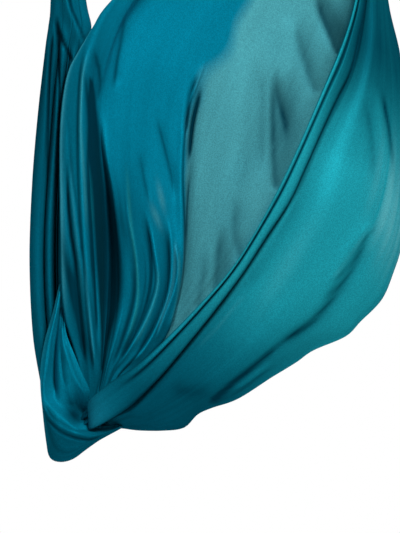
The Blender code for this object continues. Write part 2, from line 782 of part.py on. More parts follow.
def bundle_mesh(name, rings):
    """A closed loft through rings with as many points each."""
    bm = bmesh.new()
    loops = []
    for ring in rings:
        made = bmesh.ops.create_circle(bm, segments=len(ring), radius=1.0)["verts"]
        for vert, point in zip(made, ring):
            vert.co = point
        loops.append(made)
    count = len(rings[0])
    for first, second in zip(loops, loops[1:]):
        for number in range(count):
            after = (number + 1) % count
            bm.faces.new((first[number], first[after], second[after], second[number]))
    bmesh.ops.contextual_create(bm, geom=loops[0])
    bmesh.ops.contextual_create(bm, geom=loops[-1])
    bmesh.ops.recalc_face_normals(bm, faces=bm.faces)
    mesh = mesh_of(bm, name)
    mesh.shade_smooth()
    return mesh


def from_view(across, down, depth):
    """The place of a point of the front view: things further off are drawn smaller."""
    step = VIEW_STEP * (VIEW_DISTANCE + depth) / VIEW_DISTANCE
    x = VIEW_AT[0] + (across - VIEW_MIDDLE[0]) * step
    z = VIEW_AT[1] - (down - VIEW_MIDDLE[1]) * step
    return Vector((x, depth, z))


class Line:
    """The line between two ends of a pod, and the ways along it and across it."""

    def __init__(self, low, high):
        self.low = Vector(low)
        self.high = Vector(high)
        line = self.high - self.low
        self.along = Vector((line.x, 0, line.z)).normalized()
        self.length = Vector((line.x, 0, line.z)).length
        self.across = Vector((-self.along.z, 0, self.along.x))

    def numbers(self, point):
        """The point's share of the way along the line, and how far off it across and in depth."""
        offset = point - self.low
        share = offset.dot(self.along) / self.length
        return share, offset.dot(self.across), offset.y - (self.high.y - self.low.y) * share

    def place(self, share, across, depth):
        return self.low.lerp(self.high, share) + self.across * across + Vector((0, depth, 0))


class Pod(Line):
    """The pod's line, and the rails along it."""

    def __init__(self):
        super().__init__(
            (-RIG_SPACING / 2 + LOWER_END_IN, LOWER_END_DEPTH, -LOWER_END_DROP),
            (RIG_SPACING / 2 - UPPER_END_IN, UPPER_END_DEPTH, -UPPER_END_DROP),
        )
        self.drawn = Line(DRAWN_LOW, DRAWN_HIGH)

    def rail(self, number):
        """The points of a rail, from its place on the lower ring to that on the upper one."""
        angle = RING_START + RING_SWEEP * number / (len(POD_RAILS) - 1)
        across, depth = math.cos(angle), math.sin(angle)
        points = [self.place(0.0, LOW_RING[0] * across, LOW_RING[1] * depth)]
        for drawn in POD_RAILS[number][3]:
            points.append(self.place(*self.drawn.numbers(from_view(*drawn))))
        points.append(self.place(1.0, HIGH_RING[0] * across, HIGH_RING[1] * depth))
        return points


def catmull_rom(before, start, end, after, share):
    """A point on the smooth curve from start to end."""
    square = share * share
    cube = square * share
    return 0.5 * (
        2 * start
        + (end - before) * share
        + (2 * before - 5 * start + 4 * end - after) * square
        + (3 * start - before - 3 * end + after) * cube
    )


def smooth_curve(points, count):
    """As many points as count, evenly spaced along a smooth curve through the given ones."""
    extended = [2 * points[0] - points[1], *points, 2 * points[-1] - points[-2]]
    fine = []
    for number in range(len(points) - 1):
        four = extended[number : number + 4]
        fine += [catmull_rom(*four, step / RAIL_STEPS) for step in range(RAIL_STEPS)]
    fine.append(points[-1])
    reached = [0.0]
    for first, second in zip(fine, fine[1:]):
        reached.append(reached[-1] + (second - first).length)
    even = []
    place = 0
    for number in range(count):
        wanted = reached[-1] * number / (count - 1)
        while place < len(fine) - 2 and reached[place + 1] < wanted:
            place += 1
        span = max(reached[place + 1] - reached[place], MERGE_DISTANCE)
        even.append(fine[place].lerp(fine[place + 1], (wanted - reached[place]) / span))
    return even


def pod_strips(pod):
    """Every line of the pod's cloth that runs from end to end: the rails and those between."""
    rails = []
    for number in range(len(POD_RAILS)):
        rails.append(smooth_curve(pod.rail(number), POD_ROWS + 1))
    strips = []
    for number, (_, between, fold_depth, _) in enumerate(POD_RAILS):
        if not between:
            strips.append(rails[number])
            continue
        beyond = rails[min(number + 2, len(rails) - 1)]
        four = (rails[max(number - 1, 0)], rails[number], rails[number + 1], beyond)
        for part in range(between):
            line = []
            for row in range(POD_ROWS + 1):
                here = catmull_rom(*(rail[row] for rail in four), part / between)
                gathered = math.sqrt(math.sin(math.pi * min(row / POD_ROWS * FOLD_REACH, 1.0)))
                push = fold_depth * gathered * (1 if part % 2 else -1)
                line.append(here + Vector((0, push, 0)))
            strips.append(line)
    return strips


def pod_mesh(shop, pod):
    """The pod: a sheet over all strips, given its thickness and cut flat at both ends."""
    strips = pod_strips(pod)
    columns, rows = len(strips) - 1, POD_ROWS
    bm = bmesh.new()
    bmesh.ops.create_grid(bm, x_segments=columns, y_segments=rows, size=0.5)
    for vert in bm.verts:
        column = round((vert.co.x + 0.5) * columns)
        row = round((vert.co.y + 0.5) * rows)
        vert.co = strips[column][row]
    overrun = CLOTH_THICKNESS
    for vert in bm.verts:
        from_low = (vert.co - pod.low).dot(pod.along)
        if from_low < overrun:
            vert.co -= pod.along * overrun
        if from_low > pod.length - overrun:
            vert.co += pod.along * overrun
    sheet = shop.scratch("pod_sheet", mesh_of(bm, "pod_sheet"))
    wall = sheet.modifiers.new("wall", "SOLIDIFY")
    wall.thickness = CLOTH_THICKNESS
    wall.offset = 0.0
    wall.use_even_offset = False
    mesh = consume(sheet, "silk_pod")
    trim_ends(mesh, pod)
    mesh.shade_smooth()
    return mesh


def trim_ends(mesh, pod):
    """Cuts the pod flat against the ends of both strands."""
    bm = bmesh.new()
    bm.from_mesh(mesh)
    for point, direction in (
        (pod.low + pod.along * TOUCH_GAP, -pod.along),
        (pod.low + pod.along * (pod.length - TOUCH_GAP), pod.along),
    ):
        cut_flat(bm, point, direction)
    bmesh.ops.triangulate(bm, faces=[f for f in bm.faces if len(f.verts) > 4])
    bmesh.ops.recalc_face_normals(bm, faces=bm.faces)
    bm.to_mesh(mesh)
    bm.free()


def neck_rings(x):
    """The first sections of a strand, inside its knot and just below it."""
    rings = []
    for z in (STRAND_TOP_Z, KNOT_FOOT_Z - NECK_BELOW_KNOT):
        rings.append(
            pleated_ring(
                Vector((x, 0, z)),
                Vector((1, 0, 0)),
                STRAND_NECK_RADIUS,
                STRAND_NECK_RADIUS,
                NECK_PLEAT_SHARE,
            )
        )
    return rings


def end_turn(pod, below):
    """The turn at which a section lies square to the pod's line."""
    angle = math.degrees(math.atan2(pod.across.z, pod.across.x))
    return angle if below else angle - 180


def smooth_rings(rings, between):
    """The rings with others added between them, on smooth curves through their points."""
    extended = [rings[0], *rings, rings[-1]]
    smoothed = []
    for number in range(len(rings) - 1):
        four = extended[number : number + 4]
        for part in range(between):
            share = part / between
            smoothed.append([catmull_rom(*points, share) for points in zip(*four)])
    smoothed.append(rings[-1])
    return smoothed


def left_strand_mesh(pod):
    """The strand down the left side, whose foot hooks forward and up into the pod's lower end."""
    x = -RIG_SPACING / 2
    length = pod.low.z - KNOT_FOOT_Z
    knots = [
        (x + side, depth, KNOT_FOOT_Z + share * length, half_width, half_depth, turn)
        for share, side, depth, half_width, half_depth, turn in LEFT_STRAND
    ]
    knots.append(
        (
            pod.low.x,
            pod.low.y,
            pod.low.z,
            LOWER_END_HALF_WIDTH,
            LOWER_END_HALF_DEPTH,
            end_turn(pod, below=True),
        )
    )
    neck = neck_rings(x)
    rings = [neck[-1]]
    for px, py, pz, half_width, half_depth, turn in knots:
        rings.append(
            pleated_ring(
                Vector((px, py, pz)),
                across_of(turn),
                half_width,
                half_depth,
                STRAND_PLEAT_SHARE,
            )
        )
    return bundle_mesh("silk_left_strand", [neck[0], *smooth_rings(rings, STRAND_STEPS)])


def right_strand_mesh(pod):
    """The short neck between the right knot and the pod's upper end."""
    x = RIG_SPACING / 2
    rings = neck_rings(x)
    start = rings[-1]
    turn = end_turn(pod, below=False)
    last = pleated_ring(
        pod.low + pod.along * pod.length + Vector((0, pod.high.y - pod.low.y, 0)),
        across_of(turn),
        UPPER_END_HALF_WIDTH,
        UPPER_END_HALF_DEPTH,
        STRAND_PLEAT_SHARE,
    )
    for step in range(1, RIGHT_STRAND_STEPS):
        share = step / RIGHT_STRAND_STEPS
        widened = share * (1 - share) + ease(share) * share
        rings.append([a.lerp(b, widened) for a, b in zip(start, last)])
    rings.append(last)
    return bundle_mesh("silk_right_strand", rings)


def place_carabiner(shop, prefix, parent, place, meshes, steel, dark):
    """A carabiner hung under its parent, with the gate and the sleeve on their own pivots."""
    middle = Vector(place)
    shop.part(prefix + "_body", meshes["body"], steel, parent, middle)
    pin_at = middle + Vector((0, -BOW_RADIUS, -PIVOT_DROP))
    shop.part(prefix + "_gate_pin", meshes["pin"], dark, parent, pin_at)
    gate_pivot = shop.pivot(prefix + "_gate_pivot", pin_at, parent)
    shop.part(prefix + "_gate", meshes["gate"], steel, gate_pivot)
    shop.part(prefix + "_sleeve", meshes["sleeve"], dark, gate_pivot, (0, 0, SLEEVE_REST))


def build_side(shop, side, meshes, surfaces):
    """The anchor, carabiners, sling and knot of one side. Gives the pivot that the silk hangs on."""
    x = SIDES[side] * RIG_SPACING / 2
    shop.part(side + "_anchor_plate", meshes["plate"], surfaces["steel"], place=(x, 0, 0))
    shop.part(side + "_anchor_eye", meshes["eye"], surfaces["steel"], place=(x, 0, EYE_Z))
    swing = shop.pivot(side + "_front_back_swing", (x, 0, EYE_Z))
    middle_below_bow = -(SIDE_HALF + BOW_RADIUS)
    place_carabiner(
        shop,
        side + "_upper_carabiner",
        swing,
        (0, 0, UPPER_BOW_Z - EYE_Z + middle_below_bow),
        meshes,
        surfaces["steel"],
        surfaces["dark_steel"],
    )
    sling_pivot = shop.pivot(side + "_side_swing", (0, 0, SLING_TOP_Z - EYE_Z), swing)
    shop.part(side + "_sling", meshes["sling"], surfaces["webbing"], sling_pivot)
    place_carabiner(
        shop,
        side + "_lower_carabiner",
        sling_pivot,
        (0, 0, -SLING_LENGTH + middle_below_bow),
        meshes,
        surfaces["steel"],
        surfaces["dark_steel"],
    )
    return shop.pivot(side + "_silk_pivot", (0, 0, -SLING_LENGTH - BOW_TO_BOW), sling_pivot)


def hang_silk(shop, silk_pivot, meshes, surface):
    """All the cloth, which is one body on the left pivot."""
    origin = Vector((-RIG_SPACING / 2, 0, SILK_Z))
    pod = Pod()
    for side, sign in SIDES.items():
        at_side = Vector((sign * RIG_SPACING / 2, 0, SILK_Z)) - origin
        shop.part("silk_" + side + "_fold", meshes["fold"], surface, silk_pivot, at_side)
        shop.part("silk_" + side + "_knot", meshes["knot"], surface, silk_pivot, at_side)
    shaped = {
        "silk_left_strand": left_strand_mesh(pod),
        "silk_right_strand": right_strand_mesh(pod),
        "silk_pod": pod_mesh(shop, pod),
    }
    for name, mesh in shaped.items():
        shop.part(name, mesh, surface, silk_pivot, -origin)


def main():
    clear_scene()
    shop = Workshop()
    surfaces = {
        "steel": material("brushed_steel", STEEL, 0.32, 1.0),
        "dark_steel": material("dark_steel", DARK_STEEL, 0.40, 1.0),
        "webbing": material("black_webbing", WEBBING, 0.85, 0.0),
        "silk": material("teal_silk", TEAL, 0.45, 0.0),
    }
    meshes = {
        "plate": anchor_plate_mesh(shop),
        "eye": anchor_eye_mesh(shop),
        "body": carabiner_body_mesh(shop),
        "gate": gate_mesh(shop),
        "pin": gate_pin_mesh(shop),
        "sleeve": sleeve_mesh(),
        "sling": sling_mesh(shop),
        "fold": silk_fold_mesh(shop),
        "knot": knot_mesh(shop),
    }
    pivots = {side: build_side(shop, side, meshes, surfaces) for side in SIDES}
    hang_silk(shop, pivots["left"], meshes, surfaces["silk"])
    bpy.context.view_layer.update()


main()
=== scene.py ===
"""Aerial silk hung as a hammock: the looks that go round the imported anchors, carabiners and cloth.

Metres, Z up, with the origin on the ceiling. The cloth is laid out by points of the front view:
pixels across and down, and the depth in millimetres, which from_view turns into places.
"""

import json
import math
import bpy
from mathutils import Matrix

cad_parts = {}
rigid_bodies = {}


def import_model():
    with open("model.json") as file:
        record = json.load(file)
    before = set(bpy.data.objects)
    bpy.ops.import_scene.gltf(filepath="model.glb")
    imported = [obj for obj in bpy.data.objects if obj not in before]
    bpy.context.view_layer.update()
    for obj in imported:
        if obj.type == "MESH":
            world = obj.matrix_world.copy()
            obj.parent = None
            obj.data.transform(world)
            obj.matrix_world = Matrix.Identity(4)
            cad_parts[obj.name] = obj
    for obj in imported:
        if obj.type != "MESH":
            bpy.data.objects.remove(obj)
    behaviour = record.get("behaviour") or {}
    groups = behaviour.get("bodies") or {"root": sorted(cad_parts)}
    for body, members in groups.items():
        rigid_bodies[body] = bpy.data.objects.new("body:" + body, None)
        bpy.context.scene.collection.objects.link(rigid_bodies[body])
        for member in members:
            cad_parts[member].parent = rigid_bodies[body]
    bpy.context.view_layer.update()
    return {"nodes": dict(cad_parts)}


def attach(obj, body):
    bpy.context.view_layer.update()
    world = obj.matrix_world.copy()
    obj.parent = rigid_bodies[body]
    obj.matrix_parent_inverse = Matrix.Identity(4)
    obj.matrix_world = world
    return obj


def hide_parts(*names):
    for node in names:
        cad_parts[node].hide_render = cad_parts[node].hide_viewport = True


bl_info = {
    "name": "Aerial Silk Hammock",
    "version": (1, 0, 0),
    "blender": (4, 5, 0),
    "location": "View3D > Sidebar > Silk",
    "description": "Builds the gathered cloth, slings, carabiners and studio of an aerial silk hammock",
    "category": "Add Mesh",
}

import bmesh
import bpy
import numpy as np
from bpy.props import FloatProperty, FloatVectorProperty, IntProperty, PointerProperty
from mathutils import Vector, noise

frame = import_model()

# The front view that the cloth is laid out in
VIEW_WIDTH = 400
VIEW_HEIGHT = 533
PIXEL = 0.0027
VIEW_CENTRE = Vector((-0.04455, 0.0, -1.67255))
CAMERA_DISTANCE = 6.0
SENSOR = 36.0
TO_VIEWER = np.array([0.0, -1.0, 0.0])

# The rig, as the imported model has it
SIDES = {"left": -0.42, "right": 0.42}
EYE_Z = -0.045
UPPER_BOW_Z = -0.0342
BOW_TO_BOW = 0.098
SLING_TOP_Z = UPPER_BOW_Z - BOW_TO_BOW
SLING_LENGTH = 0.330
SLING_FOOT_Z = SLING_TOP_Z - SLING_LENGTH
SILK_Z = SLING_FOOT_Z - BOW_TO_BOW
KNOT_TOP = 0.034
KNOT_HEIGHT = 0.042
KNOT_FOOT_Z = SILK_Z - KNOT_TOP - KNOT_HEIGHT
ROD_RADIUS = 0.0055
BOW_RADIUS = 0.024
SIDE_HALF = 0.025
POD_TOP_Z = -0.721
CLOTH_THICKNESS = 0.0010

# How finely curves and bars are stepped, and how near points are joined
CURVE_STEPS = 16
FOLD_STEPS = 24
LINE_STEPS = 40
BAR_SIDES = 32
WELD = 0.00001


def from_view(px, py, depth):
    """The place that the camera sees at this pixel, this many millimetres behind the anchors."""
    depth = depth / 1000
    spread = (CAMERA_DISTANCE + depth) / CAMERA_DISTANCE * PIXEL
    x = VIEW_CENTRE.x + (px - VIEW_WIDTH / 2) * spread
    z = VIEW_CENTRE.z - (py - VIEW_HEIGHT / 2) * spread
    return Vector((x, depth, z))


def to_view(places):
    """The pixels across and down at which the camera sees an array of places."""
    spread = (CAMERA_DISTANCE + places[..., 1]) / CAMERA_DISTANCE * PIXEL
    px = (places[..., 0] - VIEW_CENTRE.x) / spread + VIEW_WIDTH / 2
    py = VIEW_HEIGHT / 2 - (places[..., 2] - VIEW_CENTRE.z) / spread
    return np.stack([px, py], axis=-1)


def rising(values, low, high):
    """Rises evenly from 0 at low to 1 at high, or falls where low is the greater."""
    return np.clip((values - low) / (high - low), 0, 1)


def eased(values, low, high):
    """The same with a smooth start and end."""
    share = rising(values, low, high)
    return share * share * (3 - 2 * share)


def hump(values, start, full, fading, end):
    """Rises smoothly from 0 at start to 1 at full, and falls from 1 at fading to 0 at end."""
    return eased(values, start, full) * eased(values, end, fading)


# Shaders


class Socket:
    """A node's output, with the operators that add Math nodes."""

    def __init__(self, surface, output):
        self.surface = surface
        self.output = output

    def maths(self, operation, other, clamp=False):
        settings = {"operation": operation, "use_clamp": clamp}
        return self.surface.node("ShaderNodeMath", {0: self, 1: other}, settings)

    def __add__(self, other):
        return self.maths("ADD", other)

    __radd__ = __add__

    def __sub__(self, other):
        return self.maths("SUBTRACT", other)

    def __mul__(self, other):
        return self.maths("MULTIPLY", other)

    def clamped(self):
        return self.maths("ADD", 0.0, clamp=True)


class Surface:
    """A material's node tree round one Principled shader."""

    def __init__(self, name, **constants):
        self.material = bpy.data.materials.new(name)
        self.material.use_nodes = True
        self.tree = self.material.node_tree
        self.shader = self.tree.nodes["Principled BSDF"]
        for label, value in constants.items():
            self.set(label.replace("_", " "), value)

    def node(self, kind, inputs, settings=None, output=0):
        made = self.tree.nodes.new(kind)
        for label, value in (settings or {}).items():
            setattr(made, label, value)
        for label, value in inputs.items():
            self.feed(made.inputs[label], value)
        return Socket(self, made.outputs[output])

    def feed(self, slot, value):
        if isinstance(value, Socket):
            self.tree.links.new(value.output, slot)
        elif slot.type == "RGBA":
            slot.default_value = (*value, 1.0)
        else:
            slot.default_value = value

    def set(self, label, value):
        self.feed(self.shader.inputs[label], value)

    def coordinates(self, kind="Object", scale=(1.0, 1.0, 1.0)):
        source = self.node("ShaderNodeTexCoord", {}, output=kind)
        return self.node("ShaderNodeMapping", {"Vector": source, "Scale": scale})

    def noise(self, where, scale, detail=2.0, roughness=0.5):
        inputs = {"Vector": where, "Scale": scale, "Detail": detail, "Roughness": roughness}
        return self.node("ShaderNodeTexNoise", inputs)

    def ribs(self, direction, kind, **inputs):
        """Even bands across a direction of the given coordinates."""
        inputs["Vector"] = self.coordinates(kind)
        settings = {"wave_type": "BANDS", "bands_direction": direction}
        return self.node("ShaderNodeTexWave", inputs, settings, "Fac")

    def attribute(self, name):
        return self.node("ShaderNodeAttribute", {}, {"attribute_name": name}, "Fac")

    def mix(self, share, first, second):
        inputs = {0: share, 6: first, 7: second}
        return self.node("ShaderNodeMix", inputs, {"data_type": "RGBA"}, 2)

    def ramp(self, value, low, high):
        """The value's share of the way from low to high, kept between 0 and 1."""
        inputs = {"Value": value, "From Min": low, "From Max": high}
        return self.node("ShaderNodeMapRange", inputs, {"interpolation_type": "SMOOTHSTEP"})

    def bump(self, height, strength, distance, **normal):
        inputs = {"Height": height, "Strength": strength, "Distance": distance, **normal}
        return self.node("ShaderNodeBump", inputs)


def silk_surface(name, teal, face, pale, dark):
    """Knitted nylon with a satin face: paler with painted light through one layer and painted
    highlights, darker where many layers lie packed and with painted shade in creases and valleys.
    """
    made = Surface(
        name, Metallic=0.16, Sheen_Weight=0.02, Sheen_Roughness=0.4, Sheen_Tint=(0.05, 0.75, 0.95),
        Specular_Tint=(0.02, 0.75, 0.95), Specular_IOR_Level=0.0,
    )
    creases = made.noise(made.coordinates("UV", (150.0, 5.0, 1.0)), 1.0, 3.0, 0.55)
    broad = made.noise(made.coordinates("UV", (26.0, 3.0, 1.0)), 1.0)
    cloudy = made.noise(made.coordinates(), 7.0, 3.0, 0.55)
    grain = made.noise(made.coordinates(), 900.0, 1.0, 0.75)
    coarse = made.noise(made.coordinates(), 360.0, 1.0)
    # Painted light, paler: light through a single stretched layer, and highlights on rims, lap edges and
    # glints
    thin = made.attribute("thin")
    # The outer face's own colour, also laid along some glint lines as a painted green highlight
    base = made.mix(made.attribute("face"), teal, face)
    base = made.mix((thin * (0.84 + cloudy * 0.28)).clamped(), base, pale)
    # Darker where layers lie packed, with painted shade in creases, valleys, grooves and hollows, and
    # random tone
    depth = made.attribute("packed") + (broad - 0.5) * 0.30
    # The crease noise darkens the low lines of its own bump: painted shade in the fine creases
    depth = depth + (creases - 0.5) * 0.16 + (cloudy - 0.5) * 0.10
    base = made.mix(depth.clamped(), base, dark)
    speckle = made.ramp(grain, 0.34, 0.66) * 0.16 + made.ramp(coarse, 0.34, 0.66) * 0.25
    made.set("Base Color", made.mix(speckle, base, dark))
    made.set("Roughness", 0.40 + creases * 0.08 + thin * 0.14 + grain * 0.06)
    knit = made.ribs("X", "UV", Scale=330.0, Distortion=0.6, Detail=1.0)
    crease = made.bump(creases, 0.35, 0.0014)
    made.set("Normal", made.bump(knit * 0.4 + grain * 0.6, 0.22, 0.0005, Normal=crease))
    return made.material


def steel_surface(name, colour, roughness):
    """Brushed metal with faint scratches along its length and darker handling marks."""
    made = Surface(name, Metallic=1.0)
    grain = made.noise(made.coordinates(scale=(900.0, 900.0, 60.0)), 1.0)
    worn = made.ramp(made.noise(made.coordinates(), 55.0, 4.0, 0.6), 0.52, 0.72)
    made.set("Base Color", made.mix(worn * 0.6, colour, shaded(colour, 0.78)))
    made.set("Roughness", roughness + grain * 0.12 + worn * 0.10)
    made.set("Normal", made.bump(grain, 0.10, 0.0002))
    return made.material


def webbing_surface(name, colour):
    """Flat woven nylon tape: a herringbone of fine ribs with paler yarn tops."""
    made = Surface(name, Sheen_Weight=0.3)
    ribs = made.ribs("DIAGONAL", "Object", Scale=160.0)
    yarn = made.ribs("Y", "Object", Scale=190.0, Distortion=0.3)
    height = ribs * 0.6 + yarn * 0.4
    fuzz = made.noise(made.coordinates(), 1400.0, 1.0)
    lighter = shaded(colour, 2.4, 0.01)
    made.set("Base Color", made.mix(height * 0.5 + fuzz * 0.2, colour, lighter))
    made.set("Roughness", 0.74 + fuzz * 0.16)
    made.set("Normal", made.bump(height, 0.6, 0.0004))
    return made.material


def thread_surface(name, colour):
    made = Surface(name, Roughness=0.55, Sheen_Weight=0.2)
    twist = made.noise(made.coordinates(), 2200.0, 1.0)
    made.set("Base Color", made.mix(twist * 0.5, colour, shaded(colour, 0.6)))
    made.set("Normal", made.bump(twist, 0.3, 0.0002))
    return made.material


def floor_surface(name, colour):
    made = Surface(name, Roughness=0.9)
    speckle = made.noise(made.coordinates(), 3.0, 3.0)
    made.set("Base Color", made.mix(speckle * 0.05, colour, shaded(colour, 0.9)))
    return made.material


def shaded(colour, factor, lift=0.0):
    return tuple(channel * factor + lift for channel in colour)


# Each finish: what makes it, its material's name, the looks that it takes, and what else it needs
FINISHES = {
    "silk": (silk_surface, "teal_tricot", ("teal", "face_teal", "thin_and_lit_teal", "packed_and_shaded_teal"), {}),
    "steel": (steel_surface, "brushed_steel", ("steel",), {"roughness": 0.26}),
    "dark_steel": (steel_surface, "dark_steel", ("dark_steel",), {"roughness": 0.34}),
    "webbing": (webbing_surface, "black_webbing", ("webbing",), {}),
    "thread": (thread_surface, "teal_thread", ("thread",), {}),
    "floor": (floor_surface, "pale_floor", ("floor",), {}),
}
MATERIALS = {}


def surface(finish):
    """The named finish, made the first time that a piece asks for it."""
    if finish not in MATERIALS:
        maker, name, labels, settings = FINISHES[finish]
        looks = bpy.context.scene.silk_looks
        colours = [tuple(getattr(looks, label)) for label in labels]
        MATERIALS[finish] = maker(name, *colours, **settings)
    return MATERIALS[finish]


# Shaping


def new_object(name, bm, finish):
    """A smooth object in the scene from a bmesh."""
    mesh = bpy.data.meshes.new(name)
    bm.to_mesh(mesh)
    bm.free()
    mesh.shade_smooth()
    mesh.materials.append(surface(finish))
    obj = bpy.data.objects.new(name, mesh)
    bpy.context.scene.collection.objects.link(obj)
    return obj


def piece(name, bm, finish, body, nodes=(), sharp=None):
    """A finished piece from a bmesh, on its body, and in place of its nodes.

    It takes its finish's material. Edges that bend by more than this many sharp degrees aren't
    smoothed.
    """
    obj = new_object(name, bm, finish)
    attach(obj, body)
    if nodes:
        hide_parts(*nodes)
    if sharp:
        obj.data.set_sharp_from_angle(angle=math.radians(sharp))
    return obj


def thicken(obj, thickness):
    """Gives a sheet its thickness, half to either side."""
    wall = obj.modifiers.new("wall", "SOLIDIFY")
    wall.thickness = thickness
    wall.offset = 0.0


def edges_of(verts):
    return list({edge for vert in verts for edge in vert.link_edges})


def only(kind, geometry):
    return [part for part in geometry if isinstance(part, kind)]


def between(four, share):
    """The smooth curve through four rows of numbers, this far from the second to the third."""
    a, b, c, d = four
    bent = (2 * a - 5 * b + 4 * c - d) * share**2 + (3 * b - a - 3 * c + d) * share**3
    return 0.5 * (2 * b + (c - a) * share + bent)


def carried_on(rows):
    """The rows with one more at either end, in line with the last two there."""
    return [2 * rows[0] - rows[1], *rows, 2 * rows[-1] - rows[-2]]


def smooth_points(points, count):
    """As many points as count, evenly along a smooth curve through the given rows of numbers."""
    known = np.array(points, float)
    padded = carried_on(known)
    shares = np.arange(CURVE_STEPS) / CURVE_STEPS
    spans = range(len(known) - 1)
    fine = [between(padded[span : span + 4], share) for span in spans for share in shares]
    fine = np.array([*fine, known[-1]])
    reached = np.concatenate([[0.0], np.cumsum(np.linalg.norm(np.diff(fine, axis=0), axis=1))])
    wanted = np.linspace(0.0, reached[-1], count)
    return np.stack([np.interp(wanted, reached, column) for column in fine.T], axis=1)


def across_rails(rails, counts):
    """Lines between the rails, on smooth curves from rail to rail. Gives lines and rail numbers."""
    padded = carried_on(rails)
    lines, numbers = [], []
    for span, count in enumerate(counts):
        for part in range(count):
            lines.append(between(padded[span : span + 4], part / count))
            numbers.append(span + part / count)
    return np.array([*lines, rails[-1]]), np.array([*numbers, len(counts)])


def view_rail(line, rows):
    return smooth_points([from_view(*point) for point in line], rows)


def normals_of(places):
    """The directions square to a grid of places."""
    square = np.cross(np.gradient(places, axis=0), np.gradient(places, axis=1))
    length = np.linalg.norm(square, axis=2, keepdims=True)
    return square / np.maximum(length, 1e-9)


def distance_to(points, spots, steps):
    """Each spot's distance from a smooth line of view points, its share along it, and its side.

    The side is 1 on the right of a line that runs down the view.
    """
    line = smooth_points(points, steps)
    nearest = np.full(spots.shape[:-1], np.inf)
    share = side = np.zeros_like(nearest)
    for number in range(steps - 1):
        start, way = line[number], line[number + 1] - line[number]
        t = np.clip(((spots - start) @ way) / (way @ way), 0, 1)
        gap = spots - start - t[..., None] * way
        far = np.linalg.norm(gap, axis=-1)
        closer = far < nearest
        nearest = np.where(closer, far, nearest)
        share = np.where(closer, (number + t) / (steps - 1), share)
        side = np.where(closer, np.sign(way[1] * gap[..., 0] - way[0] * gap[..., 1]), side)
    return nearest, share, side


# How steeply a fold falls off, the height of a fold with the darkest painted crease shade, the
# width in pixels of the narrow edge with it, and how much paler a lap's edge is painted as a highlight
FOLD_SHARPNESS = 1.5
DARK_HEIGHT = 0.011
DARK_WIDTH = 2.6
EDGE_PALER = 0.32


def fold_relief(spots, folds):
    """How far folds push each spot towards the viewer, in metres, and the shade and highlight painted
    along them.

    A fold is its line in view pixels from top to bottom, its height in millimetres, its widths in
    pixels on its left and on its right, and the shares of its length over which it fades in and
    out. A narrow width makes the edge of a lap, a wide one a slope. Shade is painted in a valley,
    or beside the narrow edge of a lap, and a highlight is painted on the lap's edge itself.
    """
    push = np.zeros(spots.shape[:-1])
    crease_shading = np.zeros(spots.shape[:-1])
    for line, height, left, right, start, end in folds:
        height = height / 1000
        far, share, side = distance_to(line, spots, FOLD_STEPS)
        fade = rising(share, 0, start) * rising(share, 1, 1 - end)
        fade = eased(fade, 0, 1)
        width = np.where(side > 0, right, left)
        push += height * fade * np.exp(-((far / width) ** FOLD_SHARPNESS))
        narrow = min(left, right)
        strength = fade * min(1.0, abs(height) / DARK_HEIGHT) * min(1.0, DARK_WIDTH / narrow)
        if height < 0:
            crease_shading += strength * np.exp(-((far / (narrow * 0.8)) ** 2))
        else:
            beside = far * np.where(side > 0, 1, -1) * (1 if right < left else -1)
            crease_shading += strength * np.exp(-(((beside - narrow * 1.4) / (narrow * 0.7)) ** 2))
            crease_shading -= strength * EDGE_PALER * np.exp(-((far / (narrow * 1.3)) ** 2))
    return push, crease_shading


def glint(spots, line, width):
    """1 along a narrow line in the view, fading to its sides and to its ends, where a highlight is
    painted.
    """
    far, along, _ = distance_to(line, spots, LINE_STEPS)
    return np.exp(-((far / width) ** 2)) * hump(along, 0.0, 0.2, 0.8, 1.0)


def patch(spots, middle, reach, lean=0.0):
    """A soft oval patch in the view, from 0 to 1, leaning to the right at its top by lean degrees."""
    across, down = spots[..., 0] - middle[0], spots[..., 1] - middle[1]
    turn = math.radians(lean)
    side = across * math.cos(turn) + down * math.sin(turn)
    along = down * math.cos(turn) - across * math.sin(turn)
    return np.exp(-((side / reach[0]) ** 2) - (along / reach[1]) ** 2)


def shades(spots, patches):
    """Soft patches together, each as dark as its last number."""
    return sum(dark * patch(spots, *oval) for *oval, dark in patches)


def wrinkle(shape, layer, across, along):
    """Smooth uneven values over a grid, with this many waves across it and along it."""
    columns, rows = shape
    made = [
        noise.noise(Vector((column / columns * across, row / rows * along, layer)))
        for column in range(columns)
        for row in range(rows)
    ]
    return np.array(made).reshape(shape)


def shade_piece(obj, label, values):
    """Gives a piece one value per vertex that its finish reads."""
    layer = obj.data.attributes.new(label, "FLOAT", "POINT")
    layer.data.foreach_set("value", np.clip(values, 0, 1).astype(np.float32))


def sheet_piece(name, places, nodes=(), **tones):
    """A sheet of cloth whose columns and rows lie at these places, with its UV map along them."""
    columns, rows = places.shape[0] - 1, places.shape[1] - 1
    bm = bmesh.new()
    bm.loops.layers.uv.new("UVMap")
    bmesh.ops.create_grid(bm, x_segments=columns, y_segments=rows, size=0.5, calc_uvs=True)
    for vert in bm.verts:
        vert.co = places[round((vert.co.x + 0.5) * columns), round((vert.co.y + 0.5) * rows)]
    obj = piece(name, bm, "silk", "silk", nodes)
    for label, values in tones.items():
        shade_piece(obj, label, values.T.reshape(-1))
    thicken(obj, CLOTH_THICKNESS)
    return obj


# The pod

